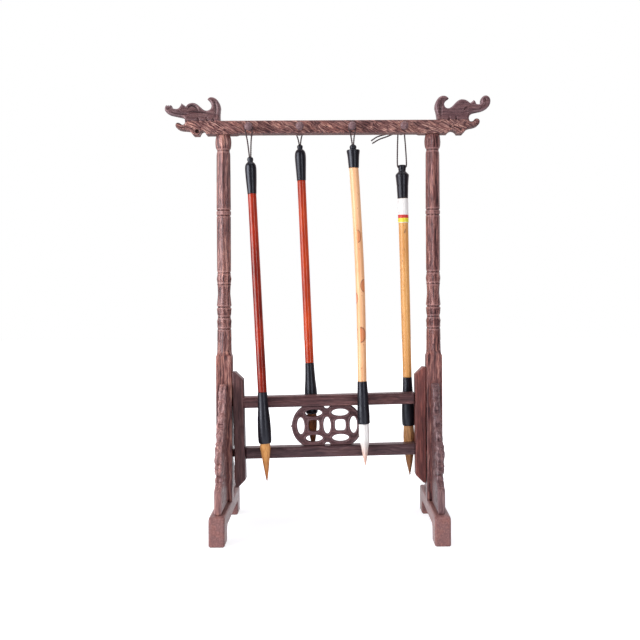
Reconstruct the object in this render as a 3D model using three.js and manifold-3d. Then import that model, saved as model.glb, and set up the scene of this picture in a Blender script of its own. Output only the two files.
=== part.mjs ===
// A standing rack of dark figured hardwood with four writing brushes hung from its pegs.
// A carved beam with a beast's head at each end rests on two turned posts. The posts stand
// in arched feet and are stayed by four carved brackets. Two rails, let through a board on
// each side, tie the posts together and hold a pierced panel of two interlocked coins.
// Lengths are millimetres. X runs along the beam, Y from front to back and Z up. The origin
// is on the floor under the middle of the beam.

import * as THREE from 'three';
import { mergeVertices } from 'three/addons/utils/BufferGeometryUtils.js';
import Module from 'manifold-3d';

const wasm = await Module();
wasm.setup();

// Fits
const clearance = 0.2; // round every tenon, spigot and stem, and at every seat
const overcut = 1; // how far a cutting solid runs past the face that it cuts

// Feet
const postSpacing = 209; // between the centre lines of the posts, and so of the feet
const footLength = 140;
const footWidth = 15;
const footHeight = 27;
const footBlock = 22; // length of the bearing block at each end of a foot
const archHeight = 14;
const archRound = 6;
const toeRound = 6;

// Posts
const postSide = 15.8; // side of the square lower part
const squareTop = 172;
const shoulderHeight = 5;
const turnedRadius = 7.1; // of the plain stretches of the turned part
const fluteCount = 8;
const fluteDepth = 0.32;
const postTenon = 8; // side of the square tenon at each end of a post
const postTenonLength = 7;

// Beam
const beamBottom = 392.5;
const beamHeight = 12.75;
const beamDepth = 15;
const padDrop = 0.8; // the beam is this much deeper over the posts
const padLength = 27;

// Heads
const headThickness = 12;
const headEdge = 1.1; // rounding of a head's edges
const mouthReach = 143; // from the middle of the beam to the corner of the mouth

// Pegs
const pegRows = { // along the beam from its middle, bored by eye and so not quite evenly
  front: [-77.9, -27.6, 24, 75.3],
  back: [-77.9, -29.1, 24, 74.5],
};
const pegDrop = 7.4; // from the top of the beam to the pegs' axis
const pegStem = 4.4; // diameter in the beam
const pegStemLength = 6;
const pegShank = 5; // diameter where a loop hangs
const pegShankLength = 8.8;
const pegHead = 7.6;
const pegHeadLength = 3.7;

// Side boards, rails and panel
const boardGap = 0.6; // between a board and the post beside it
const boardThickness = 10.5;
const boardBottom = 43;
const boardHeight = 114.5;
const boardDepth = 15;
const boardChamfer = 7.6;
const railDepth = 14;
const railHeight = 10.8;
const lowerRailBottom = 71;
const railGap = 39.6; // between the two rails, filled by the panel
const railTenon = 6.4; // height of a rail's tenon
const railTenonDepth = 8.5;
const railTenonInPost = 6;
const coinRadius = 22.1;
const coinSpacing = 26.3;
const coinShift = -2.2;
const panelThickness = 7;
const panelEdge = 0.7;
const petalLength = 17.2;
const petalWidth = 7.4;
const petalOffset = 12.6; // from a coin's centre to the petals above and below it
const coinSquare = 11;
const coinSquareRound = 3;
const meetingNotch = 2.9; // radius of the small notches where the coins meet the rails
const panelTongue = 10;
const panelTongueThickness = 3;
const panelTongueHeight = 3;

// Brackets
const bracketThickness = 7;
const bracketHeight = 117.4;
const bracketReach = 52; // out from the post along the foot
const bracketToe = 22; // height of the upright end over the foot
const bracketTongue = 3;
const bracketTongueDepth = 4;

// Brushes
const cordDiameter = 1.5;
const cordHoleDepth = 3;
const cordEndDepth = 1.4; // of a loop's ends in the hole, where the brush turns round them
const hangPlane = 15.4; // from the middle of the beam to the brushes' axes
const spigotShare = 0.62; // of a spigot's diameter to the piece that it is cut on
const capSpigot = 8;
const ferruleSpigot = 10;
const hairRoot = 6;

// A hair's taper is its width at a quarter and at half of its length, as shares of the belly.
const brushes = [
  {
    row: 'front', lean: 2.7, loop: 30.2, handle: 195, handleTop: 8.6, handleFoot: 8.8, bow: 0,
    knob: { kind: 'round', diameter: 6, height: 4 },
    cap: { length: 32, shoulder: 11.3, foot: 8.9, widestAt: 7.5 },
    ferrule: { length: 50.6, top: 9.2, widest: 13.3, mouth: 11.8 },
    hair: { length: 37.4, root: 9.9, belly: 9.9, bellyAt: 0.12, taper: [0.35, 0.61] },
    colours: { handle: 0x7e2418, hair: 0xc8925c },
  },
  {
    row: 'back', lean: 2.25, loop: 13.6, handle: 185.6, handleTop: 8.6, handleFoot: 8.6, bow: 0,
    knob: { kind: 'round', diameter: 6, height: 4.6 },
    cap: { length: 31.5, shoulder: 11.4, foot: 9.3, widestAt: 7.3 },
    ferrule: { length: 51.8, top: 9, widest: 13.2, mouth: 11.2 },
    hair: { length: 39, root: 9.6, belly: 9.8, bellyAt: 0.16, taper: [0.42, 0.78] },
    colours: { handle: 0xc04a24, hair: 0x6e452c },
  },
  {
    row: 'front', lean: 1.85, loop: 18.5, handle: 209.8, handleTop: 9.1, handleFoot: 8.7, bow: 1.8,
    knob: { kind: 'round', diameter: 7, height: 5.6 },
    cap: { length: 17.2, shoulder: 13.1, foot: 10.1, widestAt: 0.9 },
    ferrule: { length: 42, top: 9.4, widest: 12.1, mouth: 11.2 },
    hair: { length: 41.4, root: 9.8, belly: 10, bellyAt: 0.2, taper: [0.42, 0.78] },
    colours: { handle: 0xe8ba86, hair: 0xf1e6dd },
  },
  {
    row: 'back', lean: 1.16, loop: 34.5, handle: 181.8, handleTop: 9.9, handleFoot: 8.9, bow: 0,
    knob: { kind: 'spool', diameter: 8.4, height: 5.6 },
    cap: { length: 28.4, shoulder: 13.8, foot: 10.8, widestAt: 3.4 },
    ferrule: { length: 49.2, top: 9.2, widest: 13.3, mouth: 11.9 },
    hair: { length: 51, root: 10.5, belly: 11.2, bellyAt: 0.24, taper: [0.5, 0.84] },
    band: { length: 24.6, thickness: 0.3 },
    colours: { handle: 0xd9a05c, hair: 0xb98b58 },
  },
];

// Levels and places that follow from the sizes above
const beamTop = beamBottom + beamHeight;
const padBottom = beamBottom - padDrop;
const postX = postSpacing / 2;
const boardInside = postX - postSide / 2 - boardGap - boardThickness;
const pegAxis = beamTop - pegDrop;
const upperRailBottom = lowerRailBottom + railHeight + railGap;
const postTop = padBottom - clearance;
const postFoot = footHeight + clearance;

const wood = { colour: 0x6b4540, roughness: 0.5 };
const horn = { colour: 0x1c1c24, roughness: 0.22 };
const peg = { colour: 0x5a4038, roughness: 0.4 };
const cordYarn = { colour: 0x6a625c, roughness: 0.9 };
const paper = { colour: 0xf2efe6, roughness: 0.7 };

// Solids

// Shared vertices are merged, flat leftovers dropped and the faces turned outwards.
function tidy(geometry) {
  const bare = geometry.clone();
  bare.deleteAttribute('normal');
  bare.deleteAttribute('uv');
  const merged = mergeVertices(bare, 1e-4);
  const place = merged.attributes.position;
  const corner = [new THREE.Vector3(), new THREE.Vector3(), new THREE.Vector3()];
  const faces = [];
  let volume = 0;
  for (let i = 0; i < merged.index.count; i += 3) {
    const face = [0, 1, 2].map((k) => merged.index.getX(i + k));
    if (new Set(face).size < 3) continue;
    face.forEach((v, k) => corner[k].fromBufferAttribute(place, v));
    volume += corner[0].dot(corner[1].clone().cross(corner[2]));
    faces.push(face);
  }
  if (volume < 0) faces.forEach((face) => face.reverse());
  merged.setIndex(faces.flat());
  return merged;
}

function toSolid(geometry) {
  const closed = tidy(geometry);
  return new wasm.Manifold(new wasm.Mesh({
    numProp: 3,
    vertProperties: new Float32Array(closed.attributes.position.array),
    triVerts: new Uint32Array(closed.index.array),
  }));
}

function toGeometry(solid) {
  const mesh = solid.getMesh();
  const geometry = new THREE.BufferGeometry();
  geometry.setAttribute('position', new THREE.BufferAttribute(mesh.vertProperties, 3));
  geometry.setIndex(new THREE.BufferAttribute(mesh.triVerts, 1));
  return geometry;
}

// One body: the first geometry with the others joined to it, and then the cuts taken out.
function carve(body, joined, cuts) {
  let solid = toSolid(body);
  for (const piece of joined) solid = solid.add(toSolid(piece));
  for (const piece of cuts) solid = solid.subtract(toSolid(piece));
  return toGeometry(solid);
}

function block(width, depth, height, x, y, bottom) {
  return new THREE.BoxGeometry(width, depth, height).translate(x, y, bottom + height / 2);
}

// A profile of [radius, height] pairs turned round the Z axis.
function turn(profile, sides) {
  const points = profile.map(([radius, height]) => new THREE.Vector2(radius, height));
  return new THREE.LatheGeometry(points, sides).rotateX(Math.PI / 2);
}

// A board sawn to an outline that is drawn in X and Z, centred on Y = 0.
function board(outline, depth, edge = 0, curve = 3) {
  const facing = new THREE.Matrix4().makeBasis(
    new THREE.Vector3(1, 0, 0), new THREE.Vector3(0, 0, 1), new THREE.Vector3(0, -1, 0));
  return sawn(outline, depth, edge, curve).applyMatrix4(facing);
}

// A board sawn to an outline that is drawn in Y and Z, centred on X = 0.
function sideBoard(outline, width, edge = 0, curve = 3) {
  const facing = new THREE.Matrix4().makeBasis(
    new THREE.Vector3(0, 1, 0), new THREE.Vector3(0, 0, 1), new THREE.Vector3(1, 0, 0));
  return sawn(outline, width, edge, curve).applyMatrix4(facing);
}

function sawn(outline, thickness, edge, curve) {
  const flat = thickness - 2 * edge;
  return new THREE.ExtrudeGeometry(outline, {
    depth: flat, curveSegments: curve, bevelEnabled: edge > 0, bevelThickness: edge,
    bevelSize: edge, bevelOffset: -edge, bevelSegments: 1,
  }).translate(0, 0, -flat / 2);
}

// A round section carried along a smooth line through the points, with a ring every stride.
function rod(points, diameter, sides = 8, stride = 2) {
  const section = new THREE.Shape().absarc(0, 0, diameter / 2, 0, 2 * Math.PI);
  const ring = new THREE.Shape(section.getSpacedPoints(sides).slice(0, -1));
  const line = new THREE.CatmullRomCurve3(points.map((p) => new THREE.Vector3(...p)));
  const steps = Math.max(4, Math.ceil(line.getLength() / (stride * diameter)));
  return new THREE.ExtrudeGeometry(ring, { steps, bevelEnabled: false, extrudePath: line });
}

function sheet(outline) {
  return new THREE.Shape(outline.map(([u, v]) => new THREE.Vector2(u, v)));
}

const group = new THREE.Group();

function place(parent, name, geometry, finish, x = 0, y = 0, z = 0) {
  const material = new THREE.MeshStandardMaterial({
    color: finish.colour, roughness: finish.roughness, metalness: 0,
  });
  const closed = tidy(geometry);
  closed.computeVertexNormals();
  const mesh = new THREE.Mesh(closed, material);
  mesh.name = name;
  mesh.position.set(x, y, z);
  parent.add(mesh);
  return mesh;
}

// Feet: a runner along Y with an arch under it and a rounded top at each toe

function footOutline() {
  const half = footLength / 2;
  const inner = half - footBlock;
  const outline = new THREE.Shape();
  outline.moveTo(-half, 0);
  outline.lineTo(-inner, 0);
  outline.lineTo(-inner, archHeight - archRound);
  outline.quadraticCurveTo(-inner, archHeight, -inner + archRound, archHeight);
  outline.lineTo(inner - archRound, archHeight);
  outline.quadraticCurveTo(inner, archHeight, inner, archHeight - archRound);
  outline.lineTo(inner, 0);
  outline.lineTo(half, 0);
  outline.lineTo(half, footHeight - toeRound);
  outline.quadraticCurveTo(half, footHeight, half - toeRound, footHeight);
  outline.lineTo(-half + toeRound, footHeight);
  outline.quadraticCurveTo(-half, footHeight, -half, footHeight - toeRound);
  return outline;
}

function bracketTonguePlace() {
  const from = postSide / 2 + bracketReach * 0.35;
  const to = postSide / 2 + bracketReach * 0.8;
  return { middle: (from + to) / 2, length: to - from };
}

function foot() {
  const mortise = postTenon + 2 * clearance;
  const depth = postTenonLength + clearance;
  const tongue = bracketTonguePlace();
  const slots = [-1, 1].map((way) => block(
    bracketTongue + 2 * clearance, tongue.length + 2 * clearance,
    bracketTongueDepth + clearance + overcut,
    0, way * tongue.middle, footHeight - bracketTongueDepth - clearance));
  return carve(sideBoard(footOutline(), footWidth), [], [
    block(mortise, mortise, depth + overcut, 0, 0, footHeight - depth),
    ...slots,
  ]);
}

// Posts: square below and turned above, with soft flutes round the turned part

// Heights are shares of the turned length and radii are shares of the plain radius.
const turnedProfile = [
  [0.000, 0.99], [0.023, 1.04], [0.114, 0.99], [0.118, 0.93], [0.122, 0.99], [0.140, 0.98],
  [0.154, 1.03], [0.174, 0.90], [0.208, 1.01], [0.221, 1.05], [0.281, 0.88], [0.321, 0.93],
  [0.346, 1.04], [0.372, 0.91], [0.388, 0.99], [0.632, 1.00], [0.637, 0.93], [0.642, 1.01],
  [0.648, 1.01], [0.653, 0.93], [0.657, 1.00], [0.917, 0.98], [0.927, 0.90], [0.961, 1.07],
  [1.000, 0.97],
];
const postSides = 3 * fluteCount;

function turnedPart() {
  const length = postTop - squareTop;
  const profile = turnedProfile.map(([at, wide]) => [turnedRadius * wide, squareTop + length * at]);
  const closed = [[0, squareTop], ...profile, [0, postTop]];
  const geometry = turn(closed, postSides);
  const points = geometry.attributes.position;
  for (let i = 0; i < points.count; i += 1) {
    const radius = Math.hypot(points.getX(i), points.getY(i));
    if (radius < 1) continue;
    const angle = Math.atan2(points.getY(i), points.getX(i));
    const hollow = fluteDepth * (1 - Math.cos(fluteCount * angle)) / 1.5;
    const share = (radius - hollow) / radius;
    points.setXY(i, points.getX(i) * share, points.getY(i) * share);
  }
  return geometry;
}

function squarePart() {
  const half = postSide / 2;
  const high = squareTop - postFoot;
  const corner = half * Math.SQRT2;
  const top = turnedRadius * 0.8 * Math.SQRT2;
  const shoulder = new THREE.CylinderGeometry(top, corner, shoulderHeight, 4)
    .rotateY(Math.PI / 4).rotateX(Math.PI / 2).translate(0, 0, squareTop + shoulderHeight / 2);
  return { shaft: block(postSide, postSide, high, 0, 0, postFoot), shoulder };
}

// The inward side of the left post faces +X, so its mortises are cut there.
function post(inward) {
  const square = squarePart();
  const deep = railTenonInPost + clearance;
  const mortises = [lowerRailBottom, upperRailBottom].map((bottom) => block(
    deep + overcut, railTenonDepth + 2 * clearance, railTenon + 2 * clearance,
    inward * (postSide / 2 - (deep - overcut) / 2), 0,
    bottom + (railHeight - railTenon) / 2 - clearance));
  return carve(turnedPart(), [
    square.shaft,
    square.shoulder,
    block(postTenon, postTenon, postTenonLength + overcut, 0, 0, postTop - overcut),
    block(postTenon, postTenon, postTenonLength + overcut, 0, 0, postFoot - postTenonLength),
  ], mortises);
}

// Beam: the lower jaw and the beard of each beast are cut on its ends

// A path goes on by moves of 2, 4 or 6 numbers: a straight line, or a curve with one or two
// handles before its end. They are shifted by x and z, and way -1 draws them facing left.
function draw(path, moves, x, z, way = 1) {
  for (const move of moves) {
    const at = move.map((value, i) => (i % 2 ? z + value : way * (x + value)));
    if (at.length === 2) path.lineTo(...at);
    else if (at.length === 4) path.quadraticCurveTo(...at);
    else path.bezierCurveTo(...at);
  }
}

// The lip is drawn from the top of the beam and the beard from the foot of the beam's pad, with
// x out from the corner of the mouth. The two ends were not carved alike.
const jaws = {
  right: {
    mouth: -2.6,
    lip: [
      [-2.2, -1.4, -0.4, -1.6], [1.4, -1.7, 2.6, 0], [3.6, 1.4, 5.4, 1.3], [8.2, 1.2, 8.2, -2.2],
      [7.6, -6.2, 1, -7.4],
    ],
    beard: [
      [-2.6, 5.8, -4.6, 4.6], [-8.8, -0.3], [-14.4, -0.3], [-16, 3, -19.3, 3.4],
      [-22.4, 3.2, -24.4, 0],
    ],
  },
  left: {
    mouth: -1,
    lip: [
      [-1.2, -3, 1.2, -3.5], [2.6, -3.4, 3.8, -2.2], [5, -1.3, 6.6, -1.4], [8.7, -1.8, 8.5, -4.6],
      [7.6, -8.2, 0.6, -8.9],
    ],
    beard: [
      [-4, 4.7, -5.6, 4.2], [-9.2, -0.5], [-14.8, -0.5], [-16.2, 3.8, -18.6, 4],
      [-20.6, 3.8, -22.2, 0],
    ],
  },
};

// One half from the middle of the top to the middle of the bottom.
function beamHalf(jaw, way) {
  const line = new THREE.Path();
  line.moveTo(0, beamTop);
  line.lineTo(way * (mouthReach + jaw.mouth), beamTop);
  draw(line, jaw.lip, mouthReach, beamTop, way);
  draw(line, jaw.beard, mouthReach, padBottom, way);
  line.lineTo(way * (postX - padLength / 2), padBottom);
  line.lineTo(way * (postX - padLength / 2 - 2), beamBottom);
  line.lineTo(0, beamBottom);
  return line.getPoints(3);
}

// A stem's hole in the front face has way -1 and one in the back face has way 1.
function pegHole(x, way) {
  const deep = pegStemLength + clearance;
  return new THREE.CylinderGeometry(
    pegStem / 2 + clearance, pegStem / 2 + clearance, deep + overcut, 12)
    .translate(x, way * (beamDepth / 2 - (deep - overcut) / 2), pegAxis);
}

function beam() {
  const right = beamHalf(jaws.right, 1);
  const left = beamHalf(jaws.left, -1).slice(1, -1).reverse();
  const mortise = postTenon + 2 * clearance;
  const deep = postTenonLength + 2 * clearance;
  const cuts = [-1, 1].map((side) => block(
    mortise, mortise, deep + overcut, side * postX, 0, padBottom - overcut));
  pegRows.front.forEach((x) => cuts.push(pegHole(x, -1)));
  pegRows.back.forEach((x) => cuts.push(pegHole(x, 1)));
  return carve(board(new THREE.Shape([...right, ...left]), beamDepth, 0.8), [], cuts);
}

// Heads: a block glued on each end of the beam, with snout, brow, spike and horn

// x runs from the corner of the mouth out to the snout, with the horn behind it, and z up from
// the top of the beam. Each outline goes from the foot of the horn over the hump and the spike
// to the snout and back to the mouth: the right snout curls up, and the left one is blunt. The
// grooves are carved in both faces, as lines of [x, z] with a gouge's diameter.
const heads = {
  right: {
    start: [-33.8, 0],
    outline: [
      [-34.4, 6, -36.2, 12], [-36.4, 18.5, -32.6, 24.3, -27.4, 24.3], [-24.2, 24.2, -22.3, 21.4],
      [-25.8, 19.8, -26.9, 16], [-26.4, 12, -23, 11.7], [-17.6, 12, -15.6, 20.5, -9, 20.6],
      [-4.6, 20.6, -3, 18.4, -1, 17], [0.6, 17.6, 2.7, 19.8], [4.3, 18.8, 5, 16.2],
      [6.6, 15.2, 8.8, 15.3, 9.7, 17], [9.2, 20.4, 10.6, 24.1, 14.6, 24.3],
      [18.8, 24.2, 20.4, 19.4, 18.7, 15.4], [17.2, 11.8, 13.6, 9.8, 9, 8.6], [4, 7.6, 1.6, 7],
      [-1.2, 5.8, -2.8, 3.4, -2.6, 0],
    ],
    grooves: [
      { gouge: 3.2, line: [[-30.3, 0.8], [-30.8, 12], [-29.6, 18.6], [-26, 21.8]] },
      { gouge: 2, line: [[-20, 9.4], [-16.6, 12.8], [-13.2, 17], [-7, 18]] },
      { gouge: 2.4, line: [[-8.2, 7.4], [-5, 12.2], [2, 12.4], [9, 11.6]] },
    ],
  },
  left: {
    start: [-35.8, 0],
    outline: [
      [-35.2, 6.5, -36.2, 12.5], [-36.2, 18, -32.6, 23.9, -27, 24], [-24.6, 24, -23.2, 21.9],
      [-26, 20, -27.2, 15.6], [-27.2, 11, -22, 10.5], [-17.4, 10.8, -14.6, 18.3, -8.4, 18.4],
      [-4.8, 18.3, -2.8, 16.8, -1.8, 14.7], [2.7, 18], [3.8, 15, 5.4, 13.3],
      [7.2, 12, 10.6, 12.2, 12.5, 13.8], [12.4, 16.4, 14.2, 16.1], [15.2, 15.5],
      [16.8, 16.6, 18.8, 15.5], [20, 12.6, 19.2, 10.6],
      [18, 8.6, 15.4, 6.9, 11.6, 6.1], [7, 5.1, 3.6, 4.4], [0.6, 4, -1, 2.4, -1, 0],
    ],
    grooves: [
      { gouge: 3.2, line: [[-31, 0.8], [-31.6, 12], [-30.4, 18.6], [-26, 21.8]] },
      { gouge: 2.6, line: [[-4.6, 12.4], [-8, 14.8], [-12, 13], [-14.2, 10.4]] },
      { gouge: 2.4, line: [[9.5, 8.6], [0, 7.2], [-6, 8.6], [-18, 8.2], [-29, 7.6]] },
    ],
  },
};

function head({ start, outline, grooves }) {
  const sawnLine = new THREE.Shape();
  sawnLine.moveTo(...start);
  draw(sawnLine, outline, 0, 0);
  const cuts = [-1, 1].flatMap((way) => grooves.map(({ gouge, line }) => {
    const level = way * (headThickness / 2 + gouge * 0.16);
    return rod(line.map(([x, z]) => [x, level, z]), gouge, 6, 1.6);
  }));
  return carve(board(sawnLine, headThickness, headEdge), [], cuts).translate(mouthReach, 0, 0);
}

// Pegs: turned, with a stem in the beam, a shank for the loop and a domed head

function turnedPeg() {
  const shank = pegShankLength - clearance;
  const headStart = clearance + shank;
  const profile = [
    [0, -pegStemLength], [pegStem / 2, -pegStemLength], [pegStem / 2, clearance],
    [pegShank / 2 + 0.5, clearance], [pegShank / 2, clearance + 1.2], [pegShank / 2, headStart],
    [pegHead / 2 - 0.3, headStart], [pegHead / 2, headStart + pegHeadLength * 0.35],
    [pegHead * 0.36, headStart + pegHeadLength * 0.8], [0, headStart + pegHeadLength],
  ];
  return turn(profile, 10);
}

// Rails: each has a tenon at both ends, and mortises for the panel's tongues

// The panel's tongues go up into the upper rail, facing -1, and down into the lower one.
function rail(bottom, panelSide) {
  const long = 2 * (boardInside - clearance);
  const tenonLong = 2 * (postX - postSide / 2 + railTenonInPost);
  const mortises = [-1, 1].map((side) => {
    const deep = panelTongueHeight + clearance;
    const edge = panelSide > 0 ? bottom + railHeight - deep : bottom - overcut;
    return block(panelTongue + 2 * clearance, panelTongueThickness + 2 * clearance,
      deep + overcut, coinShift + side * coinSpacing / 2, 0, edge);
  });
  return carve(block(long, railDepth, railHeight, 0, 0, bottom), [
    block(tenonLong, railTenonDepth, railTenon, 0, 0, bottom + (railHeight - railTenon) / 2),
  ], mortises);
}

// Side boards: two corners cut off on the inside, and two mortises right through

function sideBoardOutline() {
  const thick = boardThickness;
  const high = boardHeight;
  return sheet([
    [0, boardChamfer], [boardChamfer, 0], [thick, 0],
    [thick, high], [boardChamfer, high], [0, high - boardChamfer],
  ]);
}

function standingBoard(side) {
  const outline = board(sideBoardOutline(), boardDepth, 0, 1).translate(0, 0, boardBottom);
  const cuts = [lowerRailBottom, upperRailBottom].map((bottom) => block(
    boardThickness + 2 * overcut, railTenonDepth + 2 * clearance, railTenon + 2 * clearance,
    boardThickness / 2, 0, bottom + (railHeight - railTenon) / 2 - clearance));
  const right = carve(outline, [], cuts).translate(boardInside, 0, 0);
  return side > 0 ? right : right.rotateZ(Math.PI);
}

// Panel: two interlocked coins, flattened against the rails, with petals and squares cut out

function petal(x, z, standing) {
  const wide = standing ? petalWidth : petalLength;
  const high = standing ? petalLength : petalWidth;
  return new THREE.Path().absellipse(x, z, wide / 2, high / 2, 0, 2 * Math.PI, true);
}

function squareHole(x) {
  const half = coinSquare / 2;
  const round = coinSquareRound;
  const hole = new THREE.Path();
  hole.moveTo(x - half, -half + round);
  hole.lineTo(x - half, half - round);
  hole.quadraticCurveTo(x - half, half, x - half + round, half);
  hole.lineTo(x + half - round, half);
  hole.quadraticCurveTo(x + half, half, x + half, half - round);
  hole.lineTo(x + half, -half + round);
  hole.quadraticCurveTo(x + half, -half, x + half - round, -half);
  hole.lineTo(x - half + round, -half);
  hole.quadraticCurveTo(x - half, -half, x - half, -half + round);
  return hole;
}

function coinPanel() {
  const half = railGap / 2 - clearance;
  const away = coinSpacing / 2;
  const end = Math.asin(half / coinRadius);
  const outline = new THREE.Shape();
  outline.moveTo(meetingNotch, half);
  outline.absarc(0, half, meetingNotch, 0, -Math.PI, true);
  outline.lineTo(-away - coinRadius * Math.cos(end), half);
  outline.absarc(-away, 0, coinRadius, Math.PI - end, Math.PI + end, false);
  outline.lineTo(-meetingNotch, -half);
  outline.absarc(0, -half, meetingNotch, Math.PI, 0, true);
  outline.lineTo(away + coinRadius * Math.cos(end), -half);
  outline.absarc(away, 0, coinRadius, -end, end, false);
  for (const side of [-1, 0, 1]) outline.holes.push(petal(side * coinSpacing, 0, true));
  for (const side of [-1, 1]) {
    for (const level of [-1, 1]) {
      outline.holes.push(petal(side * away, level * petalOffset, false));
    }
    outline.holes.push(squareHole(side * away));
  }
  const tongues = [];
  for (const side of [-1, 1]) {
    for (const level of [-1, 1]) {
      const high = panelTongueHeight + 2 * clearance;
      const bottom = level > 0 ? half - clearance : -half + clearance - high;
      tongues.push(block(panelTongue, panelTongueThickness, high, side * away, 0, bottom));
    }
  }
  return carve(board(outline, panelThickness, panelEdge, 5), tongues, []);
}

// Brackets: a carved plate that stands on the foot against the post

// y runs out from the post and z up from the foot. The long back falls in five scallops
// to a scroll, a pair of small nubs and an upright toe.
function bracketOutline() {
  const reach = bracketReach;
  const steps = 5;
  const scrollLevel = bracketHeight * 0.46;
  const outline = new THREE.Shape();
  const nick = (share) => [
    8.6 + (reach - 14.6) * (0.4 * share + 0.6 * share * share),
    bracketHeight - 2 - (bracketHeight - 2 - scrollLevel) * share,
  ];
  outline.moveTo(0, 0);
  outline.lineTo(0, bracketHeight - 1);
  outline.quadraticCurveTo(4, bracketHeight + 1, ...nick(0));
  for (let i = 1; i <= steps; i += 1) {
    const [fromY, fromZ] = nick((i - 1) / steps);
    const [toY, toZ] = nick(i / steps);
    outline.quadraticCurveTo(Math.max(fromY, toY) + 2.4, (fromZ + toZ) / 2 + 2.4, toY, toZ);
    if (i < steps) outline.lineTo(toY - 0.9, toZ - 0.8);
  }
  outline.quadraticCurveTo(reach - 3.4, scrollLevel - 5, reach - 6.4, scrollLevel - 8);
  outline.quadraticCurveTo(reach - 3, scrollLevel - 10, reach - 6.2, scrollLevel - 13);
  outline.quadraticCurveTo(reach - 3.6, scrollLevel - 16, reach - 8, scrollLevel - 18.6);
  outline.quadraticCurveTo(reach - 15, bracketToe + 9.5, reach - 5, bracketToe + 2.6);
  outline.quadraticCurveTo(reach - 1, bracketToe + 1.6, reach, bracketToe);
  outline.lineTo(reach, 0);
  return outline;
}

function bracket() {
  const tongue = bracketTonguePlace();
  const start = postSide / 2 + clearance;
  return carve(
    sideBoard(bracketOutline(), bracketThickness, 0.8).translate(0, start, postFoot),
    [block(bracketTongue, tongue.length, bracketTongueDepth + overcut,
      0, tongue.middle, footHeight - bracketTongueDepth)], []);
}

// Brushes: cap of dark horn, handle, ferrule of dark horn and hair, all hung by a cord loop

const brushSides = 10;

// Every level is measured down from the peg's axis.
function levels(brush) {
  const knobTop = -brush.loop;
  const capTop = knobTop - brush.knob.height;
  const capFoot = capTop - brush.cap.length;
  const handleFoot = capFoot - brush.handle;
  const ferruleFoot = handleFoot - brush.ferrule.length;
  return { knobTop, capTop, capFoot, handleFoot, ferruleFoot, tip: ferruleFoot - brush.hair.length };
}

function capSolid(brush, at) {
  const { knob, cap } = brush;
  const neck = knob.diameter * 0.42;
  const shoulder = cap.shoulder / 2;
  const foot = cap.foot / 2;
  const long = cap.length;
  const crown = knob.kind === 'spool'
    ? [[0, at.knobTop], [knob.diameter * 0.4, at.knobTop],
      [knob.diameter / 2, at.knobTop - 1.2], [knob.diameter / 2, at.capTop + 1.4],
      [neck, at.capTop]]
    : [[0, at.knobTop], [knob.diameter * 0.4, at.knobTop],
      [knob.diameter / 2, at.knobTop - knob.height * 0.35], [neck, at.capTop + 0.5]];
  const widest = at.capTop - cap.widestAt;
  const body = [
    [shoulder * 0.72, at.capTop - cap.widestAt * 0.1],
    [shoulder * 0.94, at.capTop - cap.widestAt * 0.5], [shoulder, widest],
    [shoulder * 0.4 + foot * 0.6, widest - (widest - at.capFoot) * 0.45],
    [foot * 1.02, at.capFoot + long * 0.14], [foot, at.capFoot],
  ];
  const spigot = brush.handleTop * spigotShare / 2 + clearance;
  const roof = at.capFoot + capSpigot + clearance;
  const profile = [...crown, ...body, [spigot, at.capFoot], [spigot, roof], [0, roof]];
  const blank = turn(profile.reverse(), brushSides);
  const bore = cordDiameter + 2.5 * clearance;
  const hole = knob.kind === 'spool'
    ? new THREE.CylinderGeometry(cordDiameter, cordDiameter, 2 * knob.diameter, 8)
      .rotateZ(Math.PI / 2).translate(0, 0, (at.knobTop + at.capTop) / 2)
    : new THREE.CylinderGeometry(bore, bore, cordHoleDepth + overcut, 8)
      .rotateX(Math.PI / 2).translate(0, 0, at.knobTop - (cordHoleDepth - overcut) / 2);
  return carve(blank, [], [hole]);
}

// A handle's bow pushes it to the right by the most at its middle and by nothing at its ends.
function handleSolid(brush, at) {
  const top = brush.handleTop / 2;
  const low = brush.handleFoot / 2;
  const high = at.capFoot - clearance;
  const end = at.handleFoot;
  const shaft = [0.25, 0.5, 0.75].map((share) => [
    low + (top - low) * share, end + (high - end) * share,
  ]);
  const geometry = turn([
    [0, end - ferruleSpigot], [low * spigotShare, end - ferruleSpigot], [low * spigotShare, end],
    [low, end], ...shaft, [top, high],
    [top * spigotShare, high], [top * spigotShare, high + capSpigot], [0, high + capSpigot],
  ], brushSides);
  const points = geometry.attributes.position;
  for (let i = 0; i < points.count; i += 1) {
    const share = THREE.MathUtils.clamp((points.getZ(i) - end) / (high - end), 0, 1);
    points.setX(i, points.getX(i) + brush.bow * Math.sin(Math.PI * share));
  }
  return geometry;
}

function ferruleSolid(brush, at) {
  const { ferrule, hair } = brush;
  const top = at.handleFoot - clearance;
  const low = at.ferruleFoot;
  const long = ferrule.length;
  const socket = brush.handleFoot * spigotShare / 2 + clearance;
  const floor = top - ferruleSpigot - clearance;
  const mouth = hair.root / 2;
  return turn([
    [0, low + hairRoot + clearance], [mouth, low + hairRoot + clearance], [mouth, low],
    [ferrule.mouth / 2 - 0.3, low], [ferrule.mouth / 2 + 0.5, low + 1.2],
    [ferrule.widest / 2, low + 5], [ferrule.widest / 2 - 0.1, low + long * 0.3],
    [ferrule.top / 2 + 0.75, low + long * 0.66], [ferrule.top / 2, top],
    [socket, top], [socket, floor], [0, floor],
  ], brushSides);
}

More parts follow.
